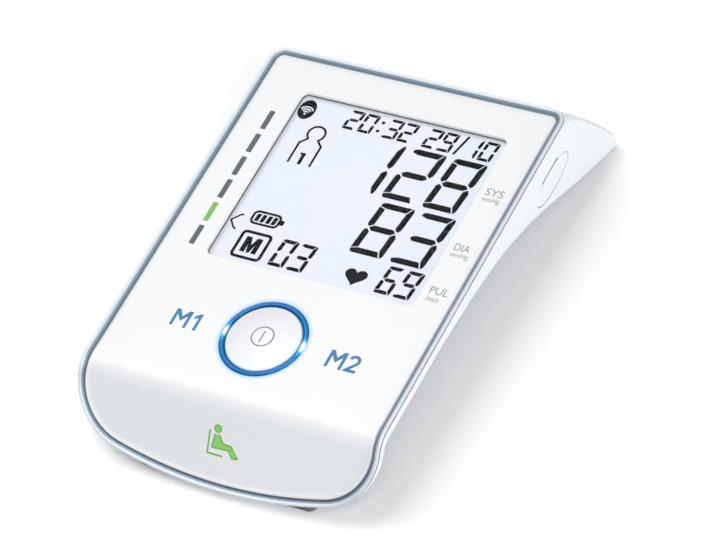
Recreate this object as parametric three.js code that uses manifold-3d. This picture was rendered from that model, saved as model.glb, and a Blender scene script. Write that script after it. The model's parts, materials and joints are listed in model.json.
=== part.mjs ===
// Upper-arm blood pressure monitor with a bent front lip, a raised rear foot, a lit start button
// and a soft cover over the charging socket. All sizes are in millimetres.
//
// The body is drawn on its own skin: x runs across it, s runs along the top surface from the centre of
// the start button towards the back, and depth runs down into the body. The front lip is that same
// skin bent downwards, so every piece that follows the lip is drawn flat and carried round the bend.

import * as THREE from 'three';
import { mergeVertices } from 'three/addons/utils/BufferGeometryUtils.js';
import Module from 'manifold-3d';

const wasm = await Module();
wasm.setup();

const rad = THREE.MathUtils.degToRad;

// Driving dimensions

// Clearance between pieces that seat on each other
const gap = 0.3;
const wall = 2.0;

// Plan of the body, to the outer edge of the rim
const halfWidth = 58.9;
const rearReach = 119.9;
const frontReach = 58.1;
const rearCorner = 10.4;
const frontCorner = 23.3;
const frontArc = 173.9;

// The lip: where the skin starts to bend, its radius and how far it turns
const lipStart = 21.3;
const lipRadius = 10.8;
const lipAngle = rad(48.5);

// Underside: a thin plate that runs into the sloping ramp of the rear foot. The lengths are measured
// forward from the rear edge.
const rampLength = 53.9;
const rampSlope = 0.44;
const rampBlend = 10;
const backLean = 0.65;
const backLeanBlend = 2;
const leanLength = 84.9;
const leanFullLength = 14.9;
const sideSplay = 0.02;
const rollLength = 109.9;
const rollFullLength = 34.9;
const rollAcrossFront = 10;
const rollAcrossRear = 5;
const rollDownFront = 7.4;
const rollDownRear = 5;

// Rim, groove and the seal bead in it
const rimCrest = 0.85;
const rimSeat = -0.2;
const rimWidth = 1.85;
const rimLegDepth = 2.6;
const rimLegInset = 1.3;
const rimFoot = 0.7;
const crestRound = 0.4;
const rimInnerEdge = 0.1;
const grooveWidth = 1.1;
const beadWidth = 0.6;
const beadTop = 0.45;

// Front cover
const coverThickness = 2.0;
const coverSkirtDepth = 3.8;
const coverSkirtWidth = 1.8;
const coverEdgeRound = 0.7;

// Display window, and the parts stacked behind it
const windowFront = 27.55;
const windowRearInset = 17.05;
const windowLeftInset = 20.55;
const windowRightInset = 15.55;
const windowCorner = 3.2;
const windowChamfer = 0.6;
const lensDepth = 0.9;
const lensThickness = 1.0;
const lensFlange = 1.8;
const glassThickness = 1.6;
const glassMargin = 0.8;
const backlightThickness = 1.2;
const connectorDepth = 2.0;
const connectorShare = 0.8;
const holderWidth = 2.0;

// Start button and its light ring
const buttonRadius = 13.6;
const buttonDish = 0.5;
const buttonTop = 0.1;
const buttonEdgeRound = 0.6;
const buttonTravel = 0.8;
const buttonWall = 2;
const buttonRoof = 2;
const buttonFlange = 1.4;
const buttonFlangeThickness = 0.8;
const ringWidth = 1.85;
const ringProud = 0.35;
const ringFlange = 2.3;
const ringFlangeThickness = 0.4;
const domeRadius = 4.2;
const domeTopRadius = 2.2;
const domePressed = 0.4;

// Touch keys and the rest indicator
const touchInset = 27.9;
const touchY = -1;
const touchPadRadius = 5.5;
const indicatorX = 1.5;
const indicatorFromTip = 17.6;
const indicatorWidth = 13;
const indicatorLength = 12;
const indicatorThickness = 1.8;
const lipBoardThickness = 1.0;
const lipBoardWidth = 30;
const lipBoardLength = 14;
const lipRestWidth = 4;
const lipBoardCorner = 1.5;
const indicatorCorner = 2;

// Main board
const boardThickness = 1.0;
const boardFront = 17.6;
const boardSetback = 18.9;
const boardSideGap = 2.2;
const boardCorner = 2;
const boardPostInset = 5.5;
const boardPostRadius = 2.2;

// Housing screws, and how far they stand inside the outline
const screwFrontInset = 13.4;
const screwFrontY = 8;
const screwRearInset = 18.9;
const screwSetback = 8.9;
const bossLength = 2.4;
const bossRadius = 3.4;
const postRadius = 3.8;
const wellRadius = 2.9;
const wellCeiling = 1.9;
const screwHeadRadius = 2.4;
const screwHeadHeight = 1.5;
const screwShankRadius = 1.2;

// Charging port in the right wall
const portSetback = 19.9;
const portDepth = 12.9;
const flapHalfLength = 12.4;
const flapHalfHeight = 4.3;
const flapThickness = 1.5;
const nailSlitLength = 13.6;
const nailSlitHeight = 0.7;
const nailSlitDepth = 0.9;
const pocketLength = 13;
const pocketHeight = 6.6;
const pocketDepth = 6.4;
const pocketCorner = 2;
const pocketFloorWall = 1.2;
const portBlockMargin = 1.4;
const usbWidth = 7.6;
const usbHeight = 2.8;
const usbLength = 6.5;
const usbShell = 0.4;
const usbTongue = 0.6;
const usbBoardThickness = 1.0;
const usbBoardWidth = 14;
const usbBoardLength = 11.7;

// Cuff air socket in the left wall
const cuffSetback = 19.9;
const cuffDepth = 13;
const cuffBoreRadius = 3.5;
const cuffWall = 1.9;
const cuffFlange = 1.5;
const cuffFlangeThickness = 1.2;
const cuffBoreDepth = 11;
const cuffBackWall = 1.2;
const barbRadius = 1.7;
const barbBore = 0.8;
const barbLength = 4.5;

// Air parts
const pumpSetback = 6.4;
const pumpMotorRadius = 9;
const pumpMotorLength = 34;
const pumpHeadRadius = 9.6;
const pumpHeadLength = 16;
const pumpMountInset = 5;
const pumpMountWidth = 5;
const pumpMountWall = 1.0;
const motorBush = 3;
const motorBushLength = 1.5;
const nozzleLength = 3;
const nozzleFromManifold = 12.3;
const tubeWall = 0.6;
const tubeBend = 3;
const stubLength = 3;
const stubSides = 12;
const manifoldSize = 7.5;
const manifoldInset = 24.6;
const manifoldBelowCuff = 1;
const manifoldPortShift = 2.4;
const manifoldPortDrop = 1.2;
const valveWidth = 10;
const valveLength = 13;
const valveHeight = 6.5;
const sensorSize = 7;
const sensorHeight = 2.2;

// Battery and board parts
const batterySideGap = 3.3;
const batteryLength = 30;
const batteryThickness = 5;
const batterySetback = 2;
const chipSize = 14;
const chipThickness = 1.3;
const chipSetback = 14;
const buzzerRadius = 7;
const buzzerThickness = 0.8;
const buzzerInset = 10;
const buzzerSetback = 15;
const radioLength = 14;
const radioWidth = 7;
const radioThickness = 1.8;
const radioInset = 6;
const radioGap = 0.95;

// Rubber feet
const footWidth = 18;
const footLength = 6;
const footProud = 1.0;
const footSink = 0.9;
const footHeight = 4.4;
const footFrontInset = 32.9;
const footFrontSetback = 3.2;
const footRearInset = 16.9;
const footRearSetback = 5.5;

// Facet counts
const rearSteps = 5;
const sideSteps = 9;
const wallShares = [0.4, 0.1, 0];
const bendSteps = 6;
const cornerSteps = 6;
const arcSteps = 4;
const rollSteps = 4;
const roundSides = 20;
const ringSides = 40;

// Depths of the stack under the panel, each worked out from the one above. The board lies under the
// display and under the pressed start button, whichever is deeper.
const glassTop = lensDepth + lensThickness + gap;
const backlightTop = glassTop + glassThickness + gap;
const displayUnder = backlightTop + backlightThickness;
const ringUnder = coverThickness + gap + ringFlangeThickness;
const domeHeight = buttonTravel + domePressed;
const boardDepth = Math.max(displayUnder + gap, ringUnder + buttonFlangeThickness + domeHeight + 3 * gap);
const boardTop = boardDepth - gap;
const domeTop = boardTop - domeHeight;
const buttonUnder = domeTop - gap;
const buttonSkirt = buttonUnder - buttonFlangeThickness;
const boardUnder = boardDepth + boardThickness;
const plateDepth = boardUnder + wall;
const ledgeDepth = rimLegDepth + gap;

// Insets and radii that follow from the sizes above
const coverInset = rimWidth + grooveWidth;
const ringInner = buttonRadius + gap;
const ringOuter = ringInner + ringWidth;
const cuffBodyRadius = cuffBoreRadius + cuffWall;
const cuffFlangeRadius = cuffBodyRadius + cuffFlange;
const tubeBore = barbRadius + gap;
const pumpMountRadius = pumpMotorRadius + gap + pumpMountWall;

// Places measured from the outline, so that they move with it
const indicatorS = frontReach - indicatorFromTip;
const rampStart = rearReach - rampLength;
const windowWidth = 2 * halfWidth - windowLeftInset - windowRightInset;
const windowHeight = rearReach - windowRearInset - windowFront;
const windowX = (windowLeftInset - windowRightInset) / 2;
const windowY = windowFront + windowHeight / 2;
const touchX = halfWidth - touchInset;
const footFrontX = halfWidth - footFrontInset;
const footRearX = halfWidth - footRearInset;
const screwFrontX = halfWidth - screwFrontInset;
const screwRearX = halfWidth - screwRearInset;
const screwRearY = rearReach - screwSetback;
const boardHalfWidth = screwFrontX - postRadius - boardSideGap;
const boardRear = rearReach - boardSetback;
const boardPostX = boardHalfWidth - boardPostInset;
const batteryFront = boardRear - batterySetback - batteryLength;
const chipY = batteryFront - chipSetback;
const buzzerX = boardPostX - buzzerInset;
const buzzerY = chipY - buzzerSetback;
const radioX = boardPostX - radioInset;
const radioY = windowFront - glassMargin - gap - holderWidth - radioGap - radioWidth / 2;
const portY = rearReach - portSetback;
const cuffY = rearReach - cuffSetback;
const pumpY = rearReach - pumpSetback;
const manifoldX = manifoldInset - halfWidth;
const manifoldDepth = cuffDepth + manifoldBelowCuff;
const batteryWidth = -2 * (manifoldX + valveWidth / 2 + batterySideGap);
const nozzleX = manifoldX + nozzleFromManifold;
const pumpMotorX = nozzleX + pumpHeadLength / 2;

// Plan outline: a list of stations down the right-hand side, from the rear corner to the tip of the lip.
// Each gives the point of the outline that lies a given distance inside the rim's outer edge.
const arcCentreS = frontArc - frontReach;
const cornerCentreX = halfWidth - frontCorner;
const cornerCentreS = arcCentreS - Math.sqrt((frontArc - frontCorner) ** 2 - cornerCentreX ** 2);
const cornerTurn = Math.atan2(arcCentreS - cornerCentreS, cornerCentreX);
const tightest = 0.6;

function planStations() {
  const stations = [];
  for (let i = 0; i <= rearSteps; i++) {
    const angle = (Math.PI / 2) * (1 - i / rearSteps);
    stations.push((inset) => {
      const r = Math.max(rearCorner - inset, tightest);
      return [
        halfWidth - inset - r + r * Math.cos(angle),
        rearReach - inset - r + r * Math.sin(angle),
      ];
    });
  }
  const sideRear = rearReach - 2 * rearCorner;
  for (let i = 0; i <= sideSteps; i++) {
    const s = sideRear - (i / sideSteps) * (sideRear + lipStart);
    stations.push((inset) => [halfWidth - inset, s]);
  }
  for (let i = 1; i < bendSteps; i++) {
    const s = -lipStart - (i / bendSteps) * (-cornerCentreS - lipStart);
    stations.push((inset) => [halfWidth - inset, s]);
  }
  for (let i = 0; i <= cornerSteps; i++) {
    const angle = -cornerTurn * (i / cornerSteps);
    stations.push((inset) => {
      const r = frontCorner - inset;
      return [cornerCentreX + r * Math.cos(angle), cornerCentreS + r * Math.sin(angle)];
    });
  }
  for (let i = 1; i <= arcSteps; i++) {
    const angle = -cornerTurn - (Math.PI / 2 - cornerTurn) * (i / arcSteps);
    stations.push((inset) => {
      const r = frontArc - inset;
      const x = i === arcSteps ? 0 : r * Math.cos(angle);
      return [x, arcCentreS + r * Math.sin(angle)];
    });
  }
  return stations;
}

const stations = planStations();

// Carries a point of the skin round the bend of the lip. Height is measured out of the skin.
function onSkin(x, s, height) {
  const past = -lipStart - s;
  if (past <= 0) return [x, s, height];
  const turn = Math.min(past / lipRadius, lipAngle);
  const beyond = past - turn * lipRadius;
  const r = lipRadius + height;
  return [
    x,
    -lipStart - r * Math.sin(turn) - beyond * Math.cos(turn),
    -lipRadius + r * Math.cos(turn) - beyond * Math.sin(turn),
  ];
}

// Depth of the underside below the panel, at distance s along the body
function undersideDepth(s) {
  const run = (s - rampStart) * rampSlope;
  return plateDepth + (run + Math.hypot(run, rampBlend)) / 2;
}

const smooth = THREE.MathUtils.smoothstep;
const mix = THREE.MathUtils.lerp;

// The back wall leans outwards as it goes down, so the rear stations slide back with depth
function leanShift(s, depth) {
  const down = Math.max(0, depth - ledgeDepth);
  const share = smooth(s, rearReach - leanLength, rearReach - leanFullLength);
  return share * backLean * (down * down) / (down + backLeanBlend);
}

// A point of the housing wall. Roll 0 is the foot of the straight wall, roll 1 the edge of the flat
// underside, with the rounded edge between them; skin is how far inside the outer surface it lies and
// top the depth at which the straight wall starts.
function wallPoint(station, skin, roll, top) {
  const base = station(skin)[1];
  const foot = smooth(base, rearReach - rollLength, rearReach - rollFullLength);
  const across = Math.max(mix(rollAcrossFront, rollAcrossRear, foot) - skin, tightest);
  const room = undersideDepth(base) - skin - top - tightest;
  const down = Math.min(Math.max(mix(rollDownFront, rollDownRear, foot) - skin, tightest), room);
  const angle = roll * Math.PI / 2;
  let s = base;
  let depth = 0;
  let x = 0;
  for (let pass = 0; pass < 6; pass++) {
    depth = undersideDepth(s) - skin - down * (1 - Math.sin(angle));
    const inset = skin + across * (1 - Math.cos(angle));
    const splay = sideSplay * Math.max(0, depth - ledgeDepth);
    const point = station(inset);
    x = point[0] * (halfWidth + splay) / halfWidth;
    s = point[1] + leanShift(base, depth);
  }
  return { x, s, depth };
}

// A point of the straight part of the housing wall, a share of the way from a given depth to its foot
function uprightPoint(station, skin, from, share) {
  const foot = wallPoint(station, skin, 0, from);
  const depth = mix(from, foot.depth, share);
  const [x, s] = station(skin);
  const splay = sideSplay * Math.max(0, depth - ledgeDepth);
  return { x: x * (halfWidth + splay) / halfWidth, s: s + leanShift(s, depth), depth };
}

// Ring of points round the body: down the right-hand side, then back up the mirrored left
function ring(pointAt) {
  const right = stations.map((station) => {
    const p = pointAt(station);
    return onSkin(p.x, p.s, -p.depth);
  });
  const left = right.slice(0, -1).reverse().map(([x, y, z]) => [-x, y, z]);
  return [...right, ...left];
}

const flatRing = (inset, height) => ring((station) => {
  const [x, s] = station(inset);
  return { x, s, depth: -height };
});

// Closed surface through a list of rings. Ended rings are closed by rungs straight across the body;
// otherwise the last ring joins the first.
function loft(rings, ended) {
  const n = rings[0].length;
  const faces = [];
  const links = ended ? rings.length - 1 : rings.length;
  for (let j = 0; j < links; j++) {
    const a = j * n;
    const b = ((j + 1) % rings.length) * n;
    for (let i = 0; i < n; i++) {
      const k = (i + 1) % n;
      faces.push(a + i, b + i, b + k, a + i, b + k, a + k);
    }
  }
  if (ended) {
    const last = (rings.length - 1) * n;
    for (let i = 0; i < (n - 1) / 2; i++) {
      const l = n - 1 - i;
      faces.push(i, i + 1, l, last + i, last + l, last + i + 1);
      if (l - 1 > i + 1) {
        faces.push(i + 1, l - 1, l, last + i + 1, last + l, last + l - 1);
      }
    }
  }
  const geometry = new THREE.BufferGeometry();
  geometry.setAttribute('position', new THREE.Float32BufferAttribute(rings.flat(2), 3));
  geometry.setIndex(faces);
  return geometry;
}

// A closed geometry as a solid, its shared points merged, its faces turned outwards
function solid(geometry) {
  const bare = new THREE.BufferGeometry();
  bare.setAttribute('position', geometry.getAttribute('position'));
  if (geometry.index) bare.setIndex(geometry.index);
  const merged = mergeVertices(bare, 1e-4);
  const position = merged.getAttribute('position').array;
  const index = merged.index.array;
  const faces = [];
  let volume = 0;
  const [a, b, c] = [new THREE.Vector3(), new THREE.Vector3(), new THREE.Vector3()];
  for (let i = 0; i < index.length; i += 3) {
    const [p, q, r] = [index[i], index[i + 1], index[i + 2]];
    if (p === q || q === r || r === p) continue;
    faces.push([p, q, r]);
    a.fromArray(position, p * 3);
    b.fromArray(position, q * 3);
    c.fromArray(position, r * 3);
    volume += a.dot(b.cross(c));
  }
  const turned = volume < 0 ? faces.map(([p, q, r]) => [p, r, q]) : faces;
  return new wasm.Manifold(new wasm.Mesh({
    numProp: 3,
    vertProperties: new Float32Array(position),
    triVerts: new Uint32Array(turned.flat()),
  }));
}

const join = (first, ...others) => others.reduce((whole, next) => whole.add(next), first);
const cut = (first, ...tools) => tools.reduce((whole, next) => whole.subtract(next), first);

function surfaceOf(shape) {
  const mesh = shape.getMesh();
  const geometry = new THREE.BufferGeometry();
  geometry.setAttribute('position', new THREE.BufferAttribute(new Float32Array(mesh.vertProperties), 3));
  geometry.setIndex(new THREE.BufferAttribute(new Uint32Array(mesh.triVerts), 1));
  geometry.computeVertexNormals();
  return geometry;
}

// Plain shapes. Heights are given out of the panel, so what lies inside the body is negative.
function block(x0, x1, y0, y1, z0, z1) {
  return solid(new THREE.BoxGeometry(x1 - x0, y1 - y0, z1 - z0)
    .translate((x0 + x1) / 2, (y0 + y1) / 2, (z0 + z1) / 2));
}

function rod(radius, x, y, z0, z1, sides = roundSides) {
  return solid(new THREE.CylinderGeometry(radius, radius, z1 - z0, sides)
    .rotateX(Math.PI / 2)
    .translate(x, y, (z0 + z1) / 2));
}

function rodAcross(radius, x0, x1, y, z, sides = roundSides) {
  return solid(new THREE.CylinderGeometry(radius, radius, x1 - x0, sides)
    .rotateZ(Math.PI / 2)
    .translate((x0 + x1) / 2, y, z));
}

// A profile of [radius, height] pairs turned round an upright axis
function turned(profile, sides = roundSides) {
  const points = profile.map(([r, z]) => new THREE.Vector2(r, z));
  return solid(new THREE.LatheGeometry(points, sides).rotateX(Math.PI / 2));
}

function roundedRect(width, height, corner) {
  const [w, h] = [width / 2, height / 2];
  const r = Math.min(corner, w, h);
  const shape = new THREE.Shape();
  shape.moveTo(-w + r, -h);
  shape.lineTo(w - r, -h);
  shape.absarc(w - r, -h + r, r, -Math.PI / 2, 0);
  shape.lineTo(w, h - r);
  shape.absarc(w - r, h - r, r, 0, Math.PI / 2);
  shape.lineTo(-w + r, h);
  shape.absarc(-w + r, h - r, r, Math.PI / 2, Math.PI);
  shape.lineTo(-w, -h + r);
  shape.absarc(-w + r, -h + r, r, Math.PI, Math.PI * 1.5);
  return shape;
}

// A flat shape given thickness, laid parallel to the panel
function plate(shape, x, y, z0, z1) {
  const geometry = new THREE.ExtrudeGeometry(shape, {
    depth: z1 - z0, bevelEnabled: false, curveSegments: 3,
  });
  return solid(geometry.translate(x, y, z0));
}

// The same, standing on edge: the shape lies in the y and z directions and runs from x0 to x1
function sidePlate(shape, x0, x1, y, z, steps = 10) {
  const geometry = new THREE.ExtrudeGeometry(shape, {
    depth: x1 - x0, bevelEnabled: false, curveSegments: steps,
  });
  geometry.rotateX(Math.PI / 2).rotateZ(Math.PI / 2);
  return solid(geometry.translate(x0, y, z));
}

// Body shells

// The whole housing form as a closed solid, a given distance inside its outer surface
function bodyForm(skin, top = 0) {
  const rings = [];
  for (let k = rollSteps; k >= 0; k--) {
    rings.push(ring((station) => wallPoint(station, skin, k / rollSteps, top)));
  }
  for (const share of wallShares) {
    rings.push(ring((station) => uprightPoint(station, skin, top, share)));
  }
  return rings;
}

function housingShell() {
  const outer = bodyForm(0, gap - rimSeat);
  const inner = bodyForm(wall, ledgeDepth).reverse();
  const lip = rimLegInset - gap;
  return solid(loft([
    ...outer,
    flatRing(lip, rimSeat - gap),
    flatRing(lip, -ledgeDepth),
    ...inner,
  ], true));
}

const within = (skin, top = ledgeDepth) => solid(loft(bodyForm(skin, top), true));

// Section of the rim as [distance inside the outline, height above the skin]
const rimSection = [
  [0, rimSeat],
  [0, rimCrest - crestRound],
  [crestRound / 3, rimCrest - crestRound / 3],
  [crestRound, rimCrest],
  [rimWidth - crestRound, rimInnerEdge],
  [rimWidth, rimInnerEdge - crestRound],
  [rimWidth, rimFoot - rimLegDepth],
  [coverInset - gap, rimFoot - rimLegDepth],
  [coverInset - gap, -rimLegDepth],
  [rimLegInset, -rimLegDepth],
  [rimLegInset, rimSeat],
];
const rimRings = rimSection.map(([inset, height]) => flatRing(inset, height));

// How the body stands on a table: the panel tilts until the lip and the rear foot are equally low.
// It is then lifted by the rubber feet and centred over its own footprint.
const bodyPoints = [...bodyForm(0), ...rimRings].flat().map((p) => new THREE.Vector3(...p));

function standing(angle) {
  const turn = new THREE.Matrix4().makeRotationX(angle);
  const points = bodyPoints.map((p) => p.clone().applyMatrix4(turn));
  const lowestOf = (some) => some.reduce((low, p) => (p.z < low.z ? p : low));
  return {
    lip: lowestOf(points.filter((p) => p.y < 0)),
    rear: lowestOf(points.filter((p) => p.y > 0)),
    reach: new THREE.Box3().setFromPoints(points),
  };
}

let panelTilt = 0;
for (let pass = 0; pass < 6; pass++) {
  const { lip, rear } = standing(panelTilt);
  panelTilt += Math.atan2(lip.z - rear.z, rear.y - lip.y);
}
const { lip: lowestLip, reach } = standing(panelTilt);
const tilt = new THREE.Matrix4().makeRotationX(panelTilt);
const lift = footProud - reach.min.z;
const centreY = (reach.min.y + reach.max.y) / 2;
const toTable = new THREE.Matrix4().makeTranslation(0, -centreY, lift).multiply(tilt);
const fromTable = toTable.clone().invert();

// The lip has a frame of its own, lying in its flat skin at the rest indicator
const toLip = new THREE.Matrix4().makeRotationX(lipAngle)
  .setPosition(...onSkin(0, -indicatorS, 0));

// Feet: upright pads on the table, sunk into the housing's skin
const rearEdge = reach.max.y - centreY;
const footSpots = [
  ['foot_front_left', -footFrontX, lowestLip.y - centreY + footFrontSetback],
  ['foot_front_right', footFrontX, lowestLip.y - centreY + footFrontSetback],
  ['foot_rear_left', -footRearX, rearEdge - footRearSetback],
  ['foot_rear_right', footRearX, rearEdge - footRearSetback],
];

function footPad(x, y, grow) {
  const shape = roundedRect(footWidth + 2 * grow, footLength + 2 * grow, footLength / 2);
  const geometry = new THREE.ExtrudeGeometry(shape, {
    depth: footHeight + grow, bevelEnabled: false, curveSegments: 3,
  });
  return solid(geometry.translate(x, y, grow > 0 ? -grow : 0).applyMatrix4(fromTable));
}

// Outline of the oval port cover
function oval(grow) {
  const shape = new THREE.Shape();
  shape.absellipse(0, 0, flapHalfLength + grow, flapHalfHeight + grow, 0, Math.PI * 2);
  return shape;
}

// Outline of the charging socket's shell
const usbOutline = (grow) => roundedRect(usbWidth + 2 * grow, usbHeight + 2 * grow, usbHeight / 3);

const pocketFloor = halfWidth - flapThickness - gap - pocketDepth;
const portInner = pocketFloor - pocketFloorWall;
const portBlockLength = 2 * (flapHalfLength + portBlockMargin);
const portBlockHeight = 2 * (flapHalfHeight + portBlockMargin);
const cutterReach = 3;
const portProud = halfWidth + cutterReach;

const screwSpots = [
  ['screw_front_left', -screwFrontX, screwFrontY],
  ['screw_front_right', screwFrontX, screwFrontY],
  ['screw_rear_left', -screwRearX, screwRearY],
  ['screw_rear_right', screwRearX, screwRearY],
];
const bossEnd = coverThickness + bossLength;
const postTop = bossEnd + gap;
const wellTop = postTop + wellCeiling;
const pilotRadius = screwShankRadius + gap;
const boardPosts = [boardPostInset - boardFront, batteryFront - boardPostInset].flatMap(
  (y) => [[-boardPostX, y], [boardPostX, y]],
);
const deepest = undersideDepth(rearReach) + rearCorner;

// The pump lies against the sloping floor of the rear foot, held off it by its rubber mounts
const pumpDepth = undersideDepth(pumpY) - wall - (pumpMountRadius + gap) * Math.hypot(1, rampSlope);
const nozzleDepth = manifoldDepth + manifoldPortDrop;
const manifoldPortY = cuffY - manifoldPortShift;

const lipBoardTop = coverThickness + 2 * gap + indicatorThickness;
const lipBoardUnder = lipBoardTop + lipBoardThickness;
const cuffMouth = -halfWidth - sideSplay * (cuffDepth - ledgeDepth);

const glassWidth = windowWidth + 2 * glassMargin;
const glassHeight = windowHeight + 2 * glassMargin;

// What hangs below the main board
const hung = boardUnder + gap;
const hungBlock = (x, y, width, length, thickness) => block(x - width / 2, x + width / 2,
  y - length / 2, y + length / 2, -hung - thickness, -hung);

// Rubber ring that holds the pump motor off the housing
function pumpMount(x) {
  return cut(
    rodAcross(pumpMountRadius, x, x + pumpMountWidth, pumpY, -pumpDepth),
    rodAcross(pumpMotorRadius + gap, x - 1, x + pumpMountWidth + 1, pumpY, -pumpDepth),
  );
}

// Silicone tube along a smooth route
function tube(route, steps) {
  const section = new THREE.Shape();
  section.absarc(0, 0, tubeBore + tubeWall, 0, Math.PI * 2);
  const bore = new THREE.Path();
  bore.absarc(0, 0, tubeBore, 0, Math.PI * 2, true);
  section.holes.push(bore);
  const path = new THREE.CatmullRomCurve3(route.map((p) => new THREE.Vector3(...p)));
  return solid(new THREE.ExtrudeGeometry(section, { extrudePath: path, steps, curveSegments: 4 }));
}

// Short round stub that a tube slips over, running along y
function stubAlong(x, y0, y1, z) {
  return solid(new THREE.CylinderGeometry(barbRadius, barbRadius, y1 - y0, stubSides)
    .translate(x, (y0 + y1) / 2, z));
}

// A profile of [radius, distance] pairs turned round an axis that runs across the body
function turnedAcross(profile, x, y, z) {
  const points = profile.map(([r, along]) => new THREE.Vector2(r, along));
  return solid(new THREE.LatheGeometry(points, roundSides).rotateZ(-Math.PI / 2).translate(x, y, z));
}

// Outline round the display window, a given distance outside its edge
const framed = (grow, corner = windowCorner + grow) => (
  roundedRect(windowWidth + 2 * grow, windowHeight + 2 * grow, corner));

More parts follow.
